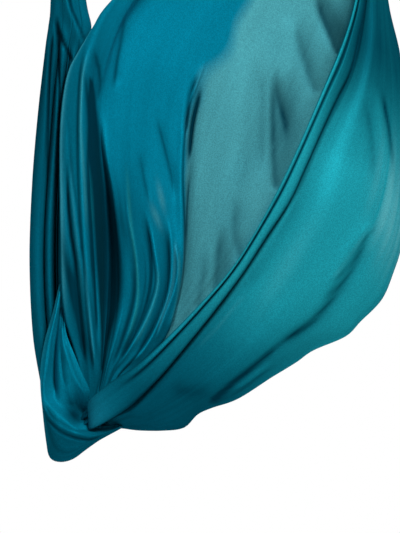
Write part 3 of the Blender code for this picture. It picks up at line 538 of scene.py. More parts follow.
# Rails from the lower end up to the upper end: pixels across and down, and depth in millimetres
FRONT_RIM = (
    (110, 417, -52), (101, 415, -50), (92, 412, -62), (88, 407, -88), (89, 401.5, -116), (94, 396, -138),
    (102, 389.5, -153), (112, 381.5, -163), (145, 359, -178), (200, 304, -195), (239.5, 256.5, -205),
    (283, 179, -205), (322, 92, -175), (348, 27, -125), (361, -30, -75), (368, -84, -28),
)
GROOVE_EDGE = (
    (109, 424, -56), (99, 427, -58), (91, 429, -78), (88.5, 429.5, -104), (92, 429, -126),
    (102, 424, -142), (119.5, 413.5, -155), (135, 402, -166), (160, 377, -176), (186, 346, -186),
    (212, 314, -192), (242, 274, -198), (266, 237, -198), (289, 202, -195), (305, 168, -186),
    (322, 130, -170), (337, 98, -154), (350.5, 71, -134), (359, 38, -108), (366, 0, -84),
    (371, -84, -30),
)
# Rails past the band: name, columns of faces up to the next rail, and the rail
POD_RAILS = (
    ("panel_top", 12, (
        (100, 421, -56), (106, 423, -82), (121, 415.5, -122), (138, 403.5, -142), (189, 347.5, -164),
        (245, 275.5, -176), (292, 203.5, -175), (325, 131.5, -152), (353.5, 72, -116), (367, 0, -72),
        (371.5, -84, -27))),
    ("panel_upper", 15, (
        (100, 422, -52), (108, 425, -72), (124, 419.5, -112), (150, 409, -146), (205, 368, -174),
        (262, 300, -192), (318, 215, -194), (352, 140, -164), (372, 60, -112), (374, -10, -66),
        (374, -84, -25))),
    ("panel_lower", 15, (
        (100, 423, -48), (110, 426, -64), (130, 424, -98), (160, 417, -130), (226, 378, -156),
        (290, 326, -166), (345, 268, -160), (382, 200, -130), (391, 100, -86), (384, 0, -46),
        (377, -84, -18))),
    ("lower_edge", 6, (
        (101, 424, -45), (112, 426.5, -58), (124, 427.2, -74), (139, 429, -88), (163, 429, -90),
        (183.5, 426.5, -86), (197, 413.5, -84), (211, 407, -80), (238, 398, -74), (272, 377, -66),
        (296, 362, -64), (313, 350, -62), (345, 336, -58), (360, 321, -54), (381, 299, -50),
        (392.5, 272, -47), (401, 243, -45), (408, 190, -43), (409, 130, -38), (400, 57, -30),
        (387, 0, -20), (379, -84, -4))),
    ("underside", 6, (
        (102, 421, -44), (125, 414, -30), (175, 394, 0), (260, 345, 40), (340, 255, 70), (378, 140, 60),
        (380, 40, 40), (377, -84, 16))),
    ("back_of_seat", 8, (
        (104, 418, -46), (128, 402, -6), (165, 365, 60), (220, 290, 120), (290, 180, 150),
        (330, 90, 130), (350, 20, 80), (373, -84, 24))),
    ("sheer_right", 36, (
        (108, 418, -68), (126, 390, -12), (165, 335, 80), (215, 265, 130), (262, 165, 160),
        (310, 60, 145), (338, -10, 95), (371, -84, 25))),
    ("sheer_left", 30, (
        (106, 415, -67), (122, 386, -14), (160, 338, 70), (186, 270, 126), (205, 165, 162),
        (248, 50, 150), (300, -42, 92), (368, -84, 25))),
    ("layer_edge", 26, (
        (104, 412, -68), (121, 381, -36), (150, 354, 10), (170, 325, 50), (180, 270, 90),
        (181, 200, 122), (181, 145, 142), (190, 100, 150), (212, 45, 145), (246, -5, 120),
        (300, -60, 78), (366, -84.5, 24))),
    ("long_fold", 28, (
        (101, 410, -70), (114, 376, -48), (136, 345, -20), (150, 300, 20), (153, 263, 45),
        (147, 220, 65), (144, 160, 95), (152, 80, 115), (184, 5, 110), (262, -64, 74), (364, -85, 18))),
    ("inner_fold", 28, (
        (98, 408.5, -75), (106, 372, -60), (116, 335, -35), (122, 300, -10), (122, 250, 5),
        (117, 200, 20), (108, 140, 50), (111, 80, 70), (138, 10, 80), (245, -78, 56), (361, -86, 12))),
    ("deep_valley", 20, (
        (95, 407, -78), (102, 366, -30), (106, 310, 22), (107, 250, 44), (104, 190, 50), (98, 130, 46),
        (100, 80, 30), (126, 10, 16), (172, -42, 20), (252, -92, 18), (359, -87, 6))),
    ("left_ridge", 20, (
        (91.5, 405, -82), (97, 368, -85), (95, 310, -80), (92, 250, -72), (88, 180, -62), (85, 120, -50),
        (90, 62, -32), (110, 12, -14), (160, -45, 0), (240, -98, 8), (357, -88, 0))),
    ("back_rim", 4, (
        (88, 403, -88), (79, 362, -80), (66.5, 318, -68), (62.5, 269, -60), (60.6, 178, -50),
        (61, 128, -43), (64.4, 92, -36), (69.5, 69, -30), (76.5, 55, -26), (84, 42, -23), (93, 27, -20),
        (112, 0, -14), (180, -62, -6), (280, -102, -2), (355, -89, -6))),
    ("rim_turned_in", 0, (
        (89, 404, -84), (81, 363, -70), (69, 319, -58), (65, 269, -50), (63.4, 178, -40), (64, 128, -33),
        (67.4, 93, -27), (72.5, 71, -22), (79.5, 57, -18), (87, 44, -15), (96, 29, -12), (115, 2, -6),
        (182, -60, 0), (280, -100, 2), (355, -88.4, -4))),
)

# Lines across the hem and the rolled band: share of the way from the rim to the groove's edge, how
# far forward in metres, columns of faces up to the next line, and how much painted shade the cloth
# takes, dark in the grooves and under the roll, and below 0 for a painted highlight along the hem
BAND = (
    (0.06, -0.007, 1, 0.6), (0, 0, 1, 0.1), (0.06, 0.0055, 1, -0.5), (0.15, 0.006, 1, -0.5),
    (0.22, -0.002, 1, 0.2), (0.255, -0.009, 1, 1), (0.3, -0.008, 1, 1), (0.345, 0.003, 1, 0.1),
    (0.42, 0.007, 3, -0.08), (0.66, 0.008, 3, -0.02), (0.88, 0.004, 1, 0.05), (0.975, -0.002, 1, 0.2),
    (1, -0.012, 1, 0.9), (0.965, -0.022, 1, 1), (0.955, -0.034, 1, 1), (1, -0.036, 1, 1),
)
# The hem's lines have shares below this, and stand this far forward where the band begins
HEM_SHARE = 0.4
HEM_THICK = 0.004
# Between the number of the hem's last line and that of the roll's first
HEM_END = 7.5

# The valley between the left folds and the fan, along which shade is painted, and how far the painted
# shade reaches to either side
VALLEY = (
    (91, 80), (94, 120), (98, 150), (102, 180), (105, 210), (107, 240), (108, 270), (109, 295),
    (108, 318), (104, 345), (101.5, 370),
)
VALLEY_REACH = (
    2, 4, 6.5, 10, 13.5, 16.5, 15.5, 12, 8, 4, 2,
)

# Crisp lines where a fold's edge catches the light: in the view, half width, how much paler, and how
# much greener
INNER_GLINTS = (
    (((93, 45), (86, 60), (82, 82), (80.5, 120), (82, 150), (85, 190), (87, 240)), 1.5, 0.3, 0.3),
    (((70.5, 150), (73, 200), (78, 250), (85, 310)), 1.3, 0.16, 0),
    (((84, 250), (89, 310), (95, 370)), 1.3, 0.2, 0),
    (((126, 158), (131, 226), (137, 276), (136, 310), (122, 354)), 1.6, 0.06, 0.9),
    (((157, 262), (157, 288), (147, 320), (132, 350)), 1.4, 0.18, 0.4),
    (((176, 236), (173, 284), (162, 318), (155, 338)), 1.3, 0.34, 0),
    (((179, 246), (178, 292), (169, 332)), 1.2, 0.22, 0.5),
    (((88, 120), (91, 180), (92.5, 240)), 2.4, 0, 0.8),
)
OUTER_GLINTS = (
    (((375, 222), (361, 240), (344, 262), (331, 284)), 1.5, 0.16, 0),
    (((247, 292), (222, 322), (196, 350)), 1.4, 0.16, 0),
)

# Soft shades on the single layer: middle, reach across and along, lean in degrees, how much darker
SINGLE_SHADES = (
    ((289, 122), (13, 42), 8, 0.34), ((334, 22), (12, 28), -25, 0.4), ((309, 60), (9, 30), -10, 0.22),
    ((193, 104), (7, 30), 12, 0.5), ((191, 175), (6, 60), 0, 0.26), ((258, 12), (42, 34), 20, -0.16),
    ((226, 262), (9, 34), 0, 0.24), ((186, 250), (6, 70), 0, 0.16),
)
# The same on the folds beside it
GROUP_SHADES = (
    ((74, 296), (4.5, 62), -13, 0.62), ((92, 170), (4.5, 70), -3, 0.24), ((116, 262), (9, 50), -8, 0.3),
    ((130, 190), (16, 40), 0, 0.14), ((152, 40), (38, 40), 0, -0.1),
)

# Folds inside the pod, as fold_relief takes them
INNER_FOLDS = (
    # strips between the back rim and the deep valley
    (((89, 42), (84, 66), (81.5, 95), (80.5, 140), (82, 200), (86, 260), (91, 320), (97, 380)), 12, 2,
     3.4, 0.12, 0.08),
    (((68, 130), (68, 190), (71, 232), (75.5, 262), (79.5, 312), (85, 366)), -15, 3.2, 2, 0.35, 0.1),
    (((65, 110), (68, 165), (74, 212), (79, 252), (86, 294), (96, 368)), 8, 3.4, 2.4, 0.25, 0.1),
    (((88, 120), (88, 180), (91, 240), (95, 300), (98, 350)), -10, 2.2, 1.4, 0.25, 0.15),
    (((92, 150), (94, 210), (96.5, 270), (99, 330), (102, 378)), 9, 2.4, 1.4, 0.25, 0.1),
    # the facet in the upper left corner and its short crease
    (((83, 62), (87, 96), (91, 130), (94, 176)), -6, 3, 3, 0.2, 0.2),
    (((92, 46), (97, 62), (100, 82), (96, 106)), -7, 4, 2.4, 0.3, 0.3),
    (((125, 8), (122, 34), (117, 62), (113.5, 92)), -8, 2.6, 6, 0.35, 0.2),
    # the laps that sweep down into the lower end
    (((109, 100), (106, 150), (111, 196), (119, 240), (126, 280), (124, 312), (113, 345), (104, 376)), 7,
     7.5, 9, 0.25, 0.08),
    (((125, 168), (127, 210), (137, 266), (138, 306), (120, 356)), 6, 4, 4, 0.3, 0.15),
    (((123, 160), (127, 215), (134, 262), (133, 300), (122, 340), (108, 374)), -7, 3, 2, 0.35, 0.1),
    (((143, 230), (148, 262), (147, 292), (136, 330), (120, 358)), 6, 2, 4, 0.35, 0.15),
    (((143, 205), (150, 250), (150, 288), (138, 326), (118, 362)), -11, 3, 1.6, 0.25, 0.12),
    (((147, 200), (154, 246), (158, 278), (153, 302), (139, 334), (117, 369)), 11, 1.8, 7, 0.45, 0.1),
    (((156, 116), (164, 146), (172, 178), (176, 204)), -7, 1.8, 5, 0.25, 0.3),
    (((139, 150), (144, 178), (150, 206)), -4, 2, 4, 0.3, 0.3),
    (((163, 215), (168, 255), (166, 292), (154, 326), (134, 358)), -9, 3.2, 1.6, 0.25, 0.12),
    (((167, 210), (172, 250), (170, 288), (160, 318), (148, 344), (130, 366)), 10, 1.6, 4, 0.25, 0.1),
    (((175, 236), (178, 268), (174, 292), (163, 322), (155, 342)), 9, 1.5, 2.4, 0.2, 0.1),
    # the edge of the second layer
    (((208, 52), (199, 78), (189, 102), (183, 135), (181, 180), (183, 232), (182, 270), (176, 304),
     (168, 334)), 14, 6, 1.2, 0.2, 0.05),
    (((199, 72), (191, 92), (187, 114), (185, 140)), -19, 2.2, 1.8, 0.25, 0.3),
    (((202, 84), (197, 104), (192, 128), (188, 168)), -17, 2.2, 2, 0.25, 0.3),
    (((190, 172), (187, 210), (186, 250)), -6, 3, 1.6, 0.3, 0.3),
    # pleats of the single layer along the front rim
    (((316, -12), (321, 12), (329, 32), (338, 54)), -13.8, 4.6, 17, 0.32, 0.02),
    (((294, 8), (300, 44), (308, 70), (316, 94)), -8, 5, 12, 0.45, 0.04),
    (((275, 60), (277, 88), (281, 108), (286, 128), (286, 152)), -7.2, 4, 7.5, 0.34, 0.34),
    (((273.5, 64), (273, 110), (273.5, 150), (276, 190)), -10, 4, 17, 0.36, 0.02),
    (((237, 192), (235, 226), (238, 246), (242, 262)), -7.2, 4.8, 12, 0.45, 0.02),
    (((222, 220), (218, 258), (216, 284), (215, 302)), -6.2, 4, 9, 0.42, 0.05),
    (((206, 246), (202, 280), (197, 312)), -4, 6, 4, 0.4, 0.1),
    (((247, 20), (240, 80), (232, 150), (222, 220)), 5, 14, 10, 0.3, 0.3),
    (((290, 10), (284, 50), (276, 96)), 6, 10, 8, 0.3, 0.3),
    (((262, 60), (262, 120), (260, 180)), -4, 6, 5, 0.3, 0.3),
)
# Folds of the outer panel
OUTER_FOLDS = (
    (((378, 221), (363, 236), (345, 260), (330, 285), (314, 308)), 14, 9, 2.2, 0.12, 0.35),
    (((372, 232), (352, 268), (338, 290), (316, 318), (288, 338), (266, 354)), -18, 3, 9, 0.2, 0.25),
    (((284, 340), (258, 362), (234, 381), (208, 403)), -12, 2.4, 6, 0.25, 0.1),
    (((274, 360), (252, 377), (228, 394)), 6, 3, 2.4, 0.3, 0.3),
    (((355, 150), (332, 205), (296, 262), (256, 312), (214, 350)), 12, 30, 26, 0.3, 0.3),
    (((306, 176), (290, 214), (262, 262), (226, 306)), -8, 10, 14, 0.3, 0.3),
    (((372, 78), (381, 120), (387, 168), (386, 206)), 6, 5, 4, 0.3, 0.3),
    (((381, 90), (389, 130), (394, 170)), -5, 2.4, 2, 0.3, 0.3),
    (((364, 96), (372, 140), (374, 186)), -4, 4, 3, 0.3, 0.3),
    (((166, 386), (190, 392), (214, 390)), -4, 9, 9, 0.3, 0.3),
)

# Rows of the neck above the pod, and how much narrower it is at the knot
NECK_ROWS = 18
NECK_SHRINK = 0.64


def pod_places(rows):
    """The pod's cloth from the front rim, over the rolled band, round the seat to the back rim."""
    rim = view_rail(FRONT_RIM, rows)
    edge = view_rail(GROOVE_EDGE, rows)
    narrowed = np.minimum(1.0, np.linalg.norm(edge - rim, axis=1, keepdims=True) / 0.030)
    begun = eased(np.linspace(0, 1, rows), 0.10, 0.24)[:, None]
    rails = []
    for share, push, _, _ in BAND:
        lifted = push if share > HEM_SHARE else HEM_THICK + (push - HEM_THICK) * begun
        rails.append(rim + (edge - rim) * share + TO_VIEWER * lifted * narrowed)
    rails += [view_rail(line, rows) for _, _, line in POD_RAILS]
    counts = [count for _, _, count, _ in BAND] + [count for _, count, _ in POD_RAILS[:-1]]
    return across_rails(rails, counts)


def up_to_knot(places, rows):
    """The grid with rows added that draw its upper end together into the right knot."""
    end = places[:, -1]
    middle = end.mean(axis=0)
    x = SIDES["right"]
    knot = [(x - 0.001, 0, POD_TOP_Z + 0.035), (x, 0, KNOT_FOOT_Z), (x, 0, KNOT_FOOT_Z + 0.03)]
    added = []
    for number, centre in enumerate(smooth_points([middle, *knot], rows + 1)[1:]):
        share = (number + 1) / rows
        spread = (end - middle) * (1.0 - NECK_SHRINK * min(1.0, share * 1.35) ** 0.8)
        spread[:, 2] *= 1.0 - min(1.0, share * 1.6)
        added.append(centre + spread)
    return np.concatenate([places, np.stack(added, axis=1)], axis=1)


def pod_pleats(rail, share, at):
    """Small pleats and waves out of the pod's cloth, in metres.

    Here and in pod_tones the shares run from 0 at the lower end to 1 at the upper end, and at
    gives the number of each named rail.
    """
    shape = rail.shape
    gathered = (rising(share, 0.42, 0.12) + rising(share, 0.80, 1.0) * 0.8) * rising(share, 0, 0.04)
    group = rising(rail, at["layer_edge"], at["layer_edge"] + 0.4)
    outer = rising(rail, at["panel_top"] + 0.3, at["panel_top"] + 0.8)
    outer *= rising(rail, at["sheer_right"], at["sheer_right"] - 0.6)
    seat = np.clip(1 - np.abs(rail - at["sheer_left"]) / 1.2, 0, 1) * rising(share, 0.1, 0.3)
    long_pleats = wrinkle(shape, 3.1, 30.0, 2.0) * 0.006 + wrinkle(shape, 7.7, 64.0, 3.0) * 0.0015
    waves = wrinkle(shape, 11.3, 9.0, 3.0) * 0.006 * (0.3 + 0.7 * outer) * eased(share, 1.0, 0.85)
    seat_waves = wrinkle(shape, 5.5, 26.0, 7.0) * 0.004 * seat
    return long_pleats * gathered * (0.25 + 0.75 * group) + waves + seat_waves


def pod_tones(spots, rail, share, at, inner):
    """How pale, how dark and how much like its outer face the pod's cloth shows: paler with painted
    light through the single layer and painted highlights, darker where layers lie packed and with
    painted shade.

    The value inner is 1 where the inside of the cloth faces the camera.
    """
    first = len(BAND)
    shape = rail.shape
    uneven = wrinkle(shape, 6.2, 3.0, 14.0) * 0.5 * eased(share, 0.3, 0.6)
    soft = 0.22 + 0.34 * eased(share, 0.46, 0.62)
    single = np.clip((at["layer_edge"] - 0.10 - rail + uneven) / soft, 0, 1)
    single *= inner * rising(share, 1.0, 0.88)
    outer = 1 - inner
    in_band = rail < first
    # Painted light on the cuff, where the band turns round at the lower end
    cuff = in_band * eased(share, 0.16, 0.03)
    # A painted highlight along the back rim
    rim_line = np.exp(-(((rail - at["back_rim"]) / 0.16) ** 2)) * hump(share, 0.1, 0.2, 0.52, 0.60)

    # Painted light from behind on the outer panel's right edge, and two paler patches: a streak on the
    # outer panel and small spots in the fan
    edge_patch = patch(spots, (394, 214), (17, 56)) * (0.66 + 1.3 * wrinkle(shape, 8.8, 150.0, 1.6))
    outer_pale_streak = patch(spots, (288, 264), (9, 46), 32)
    fan_pale_spots = patch(spots, (161, 197), (2.6, 13), -12) + patch(spots, (156, 217), (3, 12), -22)
    middle = hump(share, 0.10, 0.45, 0.56, 0.84)
    # Painted light through the single layer, with those patches, the rim's highlight and the cuff's
    # light
    thin = single + outer * (0.04 * middle + 1.25 * edge_patch + 0.16 * outer_pale_streak)
    thin += inner * (1 - single) * 0.45 * fan_pale_spots + 0.42 * rim_line + 0.12 * cuff

    # Darker towards both ends, where the outer panel gathers into layers and turns from the light:
    # packed layers and painted shade
    outer_packed_and_shaded = 0.80 * eased(share, 0.44, 0.12) + 0.90 * eased(share, 0.55, 0.80)
    # Painted shade in the band's grooves and under its roll, a painted highlight along the hem, and
    # painted light on the cuff
    across_band = np.interp(rail, np.arange(len(BAND)), [dark for _, _, _, dark in BAND])
    hem_fade = np.where(rail < HEM_END, eased(share, 0.12, 0.26), rising(share, 0, 0.03))
    outer_packed_and_shaded += in_band * across_band * hem_fade - 0.75 * cuff
    # Painted shade on the outer panel just under the roll's edge
    past_roll = rising(rail, first + 0.1, first - 1) * (rail >= first - 1) * (share > 0.06)
    outer_packed_and_shaded += 0.9 * past_roll

    # Darker towards the lower end where laps lie packed, with painted shade behind and along the valley
    # and in soft patches
    fan_packed_and_shaded = 0.04 + 0.26 * eased(share, 0.72, 0.48) + 0.22 * eased(share, 0.42, 0.2)
    behind_valley = eased(rail, at["deep_valley"], at["deep_valley"] + 0.8)
    fan_packed_and_shaded += 0.20 * behind_valley * hump(share, 0.28, 0.40, 0.58, 0.70)
    far, down, _ = distance_to(VALLEY, spots, LINE_STEPS)
    reach = np.interp(down, np.linspace(0, 1, len(VALLEY_REACH)), VALLEY_REACH)
    fan_packed_and_shaded += 0.66 * np.exp(-((far / reach) ** 3)) + shades(spots, GROUP_SHADES)
    # Painted shade on the single layer, darker towards its lower end and in soft patches
    single_shaded = 0.20 * eased(share, 0.80, 0.50) + 0.26 * eased(share, 0.48, 0.15)
    single_shaded += shades(spots, SINGLE_SHADES)
    # Lighter along the back rim's painted highlight
    inner_packed_and_shaded = single * single_shaded + (1 - single) * fan_packed_and_shaded - 0.45 * rim_line
    packed = inner * inner_packed_and_shaded + outer * outer_packed_and_shaded

    face = outer * hump(share, 0.06, 0.40, 0.86, 1.0)
    # Painted highlights along the glint lines: paler, and greener with the outer face's colour
    for glints, shown in ((INNER_GLINTS, inner), (OUTER_GLINTS, outer)):
        for line, width, paler, greener in glints:
            lit = glint(spots, line, width) * shown
            thin += lit * paler
            face += lit * greener
    return thin, packed, face


def build_pod(looks):
    places, numbers = pod_places(looks.pod_rows)
    rail, share = np.meshgrid(numbers, np.linspace(0, 1, looks.pod_rows), indexing="ij")
    at = {name: len(BAND) + order for order, (name, _, _) in enumerate(POD_RAILS)}
    normal = normals_of(places)
    spots = to_view(places)
    inside = rail > at["underside"] + 0.6
    outside = (rail > at["panel_top"]) & (rail < at["underside"])
    inner_relief = fold_relief(spots, INNER_FOLDS)
    outer_relief = np.array(fold_relief(spots, OUTER_FOLDS)) * outside
    push, crease_shading = np.where(inside, inner_relief, outer_relief)
    neck_pleats = wrinkle(rail.shape, 4.4, 44.0, 1.6)
    relief = pod_pleats(rail, share, at) + neck_pleats * 0.007 * eased(share, 0.80, 1.0)
    facing = np.where(normal[:, :, 1] > 0, -1.0, 1.0)
    places = places + normal * (facing * relief)[..., None] + TO_VIEWER * push[..., None]

    inner = rising(rail, at["back_of_seat"] - 0.3, at["back_of_seat"] + 0.2)
    thin, packed, face = pod_tones(spots, rail, share, at, inner)
    # Painted shade where folds sink back and along their creases, and painted highlights on lap edges
    packed += np.clip(-push / 0.014, -0.3, 1) * 0.36 + np.clip(crease_shading, -0.6, 1) * 0.50
    # Towards the knot the neck darkens, with painted shade between its pleats
    neck = 0.62 - neck_pleats[:, -1:] * 1.1
    packed += (neck - packed) * eased(share, 0.86, 1.0)
    added = np.zeros((len(numbers), NECK_ROWS))
    obj = sheet_piece(
        "silk_pod_cloth", up_to_knot(places, NECK_ROWS), ["silk_pod", "silk_right_strand"],
        thin=np.hstack([thin, added]), packed=np.hstack([packed, added + neck]),
        face=np.hstack([face, added]),
    )


# The strand and the fold that wraps its foot

# Left strand: drop below its knot, sideways, depth, half width, half depth, turn in degrees
LEFT_STRAND = (
    (-0.066, 0, 0, 0.012, 0.012, 0), (-0.03, 0, 0, 0.0125, 0.0125, 0), (0.004, 0, 0, 0.0135, 0.0135, 0),
    (0.04, 0.001, 0, 0.018, 0.016, 0), (0.15, 0.008, 0, 0.034, 0.024, 0),
    (0.33, 0.021, 0, 0.049, 0.029, 0), (0.39, 0.024, 0.002, 0.058, 0.03, 0),
    (0.45, 0.014, 0.006, 0.057, 0.031, 0), (0.6, -0.003, 0.015, 0.058, 0.033, 0),
    (0.815, -0.016, 0.019, 0.064, 0.035, 0), (1.018, -0.018, 0.019, 0.069, 0.036, 0),
    (1.22, -0.011, 0.011, 0.066, 0.038, 2), (1.372, 0.006, -0.01, 0.056, 0.04, 10),
    (1.474, 0.024, -0.036, 0.06, 0.04, 60), (1.482, 0.052, -0.056, 0.052, 0.04, 80),
    (1.462, 0.086, -0.072, 0.044, 0.038, 112), (1.44, 0.106, -0.078, 0.04, 0.036, 118),
)
STRAND_ROWS = 150
# What a radian of turn counts for, in metres, where the rows are spaced evenly
TURN_WEIGHT = 0.05
# Where the folds across the strand's front run into one sheet and part again, as drops
ONE_SHEET = (0.14, 0.30, 0.39, 0.56)

# A strand's broad folds across its front: left and right edge as shares of its half width, and
# how far forward the fold stands
STRAND_RIBS = (
    (-0.99, -0.34, 0.84), (-0.33, 0.1, 1), (0.13, 0.19, 0.66), (0.18, 0.6, 0.96), (0.57, 0.99, 0.74),
)
# Points across each fold, and the layers of cloth that lie to and fro behind it
RIB_POINTS = 15
LAYER_POINTS = 3
LAYERS_BEHIND = 4
FOLD_BACK = 0.22
LAYER_DEPTHS = (0.84, -0.30)
LAST_DEPTH = 0.97
SHEET_DEPTH = 0.94

STRAND_FOLDS = (
    (((55, 18), (59, 32), (65, 46), (74, 64)), -10, 2, 2, 0.1, 0.2),
    (((58, 18), (62, 32), (68, 46), (77, 64)), 6, 1.6, 2.4, 0.2, 0.2),
    (((62, -34), (67, 3), (74, 22), (83, 44)), 9, 5, 2.2, 0.2, 0.1),
    (((55.5, 26), (57.5, 34), (58.5, 50)), -14, 1.8, 1.6, 0.25, 0.3),
    (((58, 34), (59, 80), (60, 130), (59, 200)), -14, 1.8, 1.4, 0.08, 0.3),
    (((53, 30), (50, 60), (48, 110), (47, 190)), -14, 1.6, 1.4, 0.1, 0.3),
    (((46, 396), (54, 422), (70, 438), (98, 442)), -10, 2.4, 2.4, 0.3, 0.3),
)

# The loose fold that wraps the strand's foot, from its left edge to its right one
WRAP_RAILS = (
    (16, (
        (60, 284, -30), (53.5, 312, -30), (46, 338, -30), (41.3, 362, -30), (40.5, 381, -32),
        (42.5, 408, -40), (46.5, 440, -50), (50, 457, -62), (60, 461.8, -70), (73, 459, -78),
        (86, 449.5, -84), (100, 439.5, -86), (124, 426.5, -80))),
    (20, (
        (60.6, 284, -34), (54.6, 312, -50), (47.6, 338, -60), (42.8, 362, -66), (41.4, 384, -72),
        (43.2, 410, -94), (48.5, 433, -120), (57, 449, -130), (68, 452, -132), (80, 447, -130),
        (92, 440, -124), (105, 434, -112), (122, 426.4, -92))),
    (20, (
        (61.4, 284, -38), (56.2, 312, -72), (49.8, 338, -92), (45.8, 362, -102), (43.4, 386, -104),
        (46, 402, -110), (56, 414, -126), (69, 429, -138), (84, 436.5, -140), (96, 436, -134),
        (108, 431.5, -118), (121, 426, -96))),
    (20, (
        (61.8, 290, -34), (58.6, 318, -60), (55, 342, -76), (53, 364, -80), (52.6, 386, -80),
        (56, 402, -90), (64, 414, -106), (76, 426, -116), (90, 431.5, -118), (100, 431, -116),
        (110, 428.5, -106), (120, 425.5, -92))),
    (24, (
        (62.2, 296, -36), (60.4, 322, -66), (59.6, 344, -96), (60.5, 368, -108), (63, 388, -98),
        (67, 402, -80), (74, 413, -78), (84, 421, -88), (95, 426, -98), (104, 427, -102),
        (112, 426.5, -98), (119, 425, -90))),
    (24, (
        (62.6, 302, -38), (62.8, 328, -80), (66, 349, -110), (72, 371, -112), (77, 390, -94),
        (80, 403, -70), (86, 413, -56), (93, 420, -66), (100, 424, -80), (106, 425.5, -90),
        (112, 425.4, -92), (118, 424.5, -88))),
    (0, (
        (63, 306, -40), (66, 331, -82), (72, 349, -100), (81, 371, -106), (88.5, 388, -106),
        (90.5, 401, -90), (91, 410, -74), (96, 417, -72), (102, 421.5, -78), (108, 423.5, -86),
        (113, 424.2, -88), (117, 424, -86))),
)
WRAP_ROWS = 90
# Where the wrap turns under the strand's foot and painted shade begins, in the view
WRAP_TURN = (
    (40, 400), (48, 412), (60, 425), (75, 433), (95, 432), (120, 424),
)
WRAP_FOLDS = (
    (((61, 300), (58, 325), (55, 350), (54, 376), (56, 398)), -10, 1.4, 1.6, 0.15, 0.15),
    (((62.5, 304), (63, 316), (62.6, 330)), -10, 2.4, 2, 0.25, 0.25),
    (((63, 340), (68, 358), (75, 378), (84, 394)), 6, 3, 1.8, 0.25, 0.2),
    (((61, 345), (62, 368), (66, 390)), -6, 1.6, 2.8, 0.3, 0.2),
    (((68, 398), (71, 410), (80, 424)), -10, 6, 8, 0.35, 0.1),
    (((43, 402), (50, 414), (60, 423), (80, 431), (104, 428)), -8, 1.6, 3, 0.15, 0.2),
    (((44, 414), (52, 425), (66, 435), (87, 440), (106, 434)), -7, 1.6, 3, 0.2, 0.2),
)


def run_together(height):
    """How far the folds across the strand's front have run into one sheet, at this height."""
    return hump(KNOT_FOOT_Z - height, *ONE_SHEET)


def strand_section():
    """The cloth's path across a strand: over each front fold, then to and fro behind it.

    Each point is its place across, its depth, and 1 on the front, where the folds show.
    """
    section = []
    for left, right, forward in STRAND_RIBS:
        span = right - left
        for share in np.linspace(0, 1, max(5, round(RIB_POINTS * span / 0.5))):
            rise = math.sin(math.pi * min(max(share, 0.02), 0.98)) ** 0.45
            section.append((left + span * share, -forward * rise * 0.98 + FOLD_BACK * (1 - rise), 1))
        for layer in range(LAYERS_BEHIND):
            across = right - span * (layer + 0.7) / (LAYERS_BEHIND + 0.4) * 0.92
            start, end = LAYER_DEPTHS if layer % 2 == 0 else reversed(LAYER_DEPTHS)
            section += [(across, depth, 0) for depth in np.linspace(start, end, LAYER_POINTS)]
        section.append((left + span * 0.2, LAST_DEPTH, 0))
        section.append((right - span * 0.1, LAST_DEPTH, 0))
        section.append((right, 0.5, 0))
    return np.array(section)


def strand_places(x):
    """The strand's cloth: one section of folds, carried along a smooth line."""
    stations = [
        (x + side, depth, KNOT_FOOT_Z - drop, width, reach, math.radians(turn) * TURN_WEIGHT)
        for drop, side, depth, width, reach, turn in LEFT_STRAND
    ]
    section = strand_section()
    places = np.zeros((len(section), STRAND_ROWS, 3))
    for row, (cx, cy, cz, width, reach, turn) in enumerate(smooth_points(stations, STRAND_ROWS)):
        angle = turn / TURN_WEIGHT
        along = row / STRAND_ROWS
        drift = 0.10 * math.sin(along * 7.0) + 0.06 * math.sin(along * 17.0)
        across = np.clip(section[:, 0] + drift * (1 - section[:, 0] ** 2) * 0.5, -1, 1)
        roundness = np.sqrt(np.clip(1 - 0.72 * across**2, 0.05, 1))
        merged = run_together(cz) * section[:, 2]
        depth = section[:, 1] * (1 - merged) - SHEET_DEPTH * merged
        places[:, row, 0] = cx + across * width * math.cos(angle)
        places[:, row, 1] = cy + depth * reach * roundness
        places[:, row, 2] = cz + across * width * math.sin(angle)
    return places


def build_left_strand():
    places = strand_places(SIDES["left"])
    shape = places.shape[:2]
    share = np.linspace(0, 1, STRAND_ROWS)[None, :]
    ends = rising(share, 0, 0.12) * rising(share, 1, 0.94)
    waves = wrinkle(shape, 2.3, 16.0, 5.0) * 0.0016 * ends
    places = places + normals_of(places) * waves[..., None]
    front = places[..., 1] < np.median(places[..., 1], axis=0)
    push, crease_shading = np.array(fold_relief(to_view(places), STRAND_FOLDS)) * front
    places = places + TO_VIEWER * (push * ends)[..., None]
    _, depth, shown = strand_section().T[..., None]
    # Painted shade on the layers behind the front folds and on folds set back, the whole strand darker
    # where its layers lie packed, and painted shade along the crease lines
    forward = np.maximum(np.clip(-depth, 0, 1), run_together(places[..., 2]))
    behind = 1 - shown * (0.55 + 0.45 * forward)
    packed = 0.74 - 0.20 * eased(share, 0.35, 0.62) + behind * 0.45 + np.clip(crease_shading, -0.4, 1) * 0.5
    obj = sheet_piece("silk_left_strand_cloth", places, ["silk_left_strand"], packed=packed)


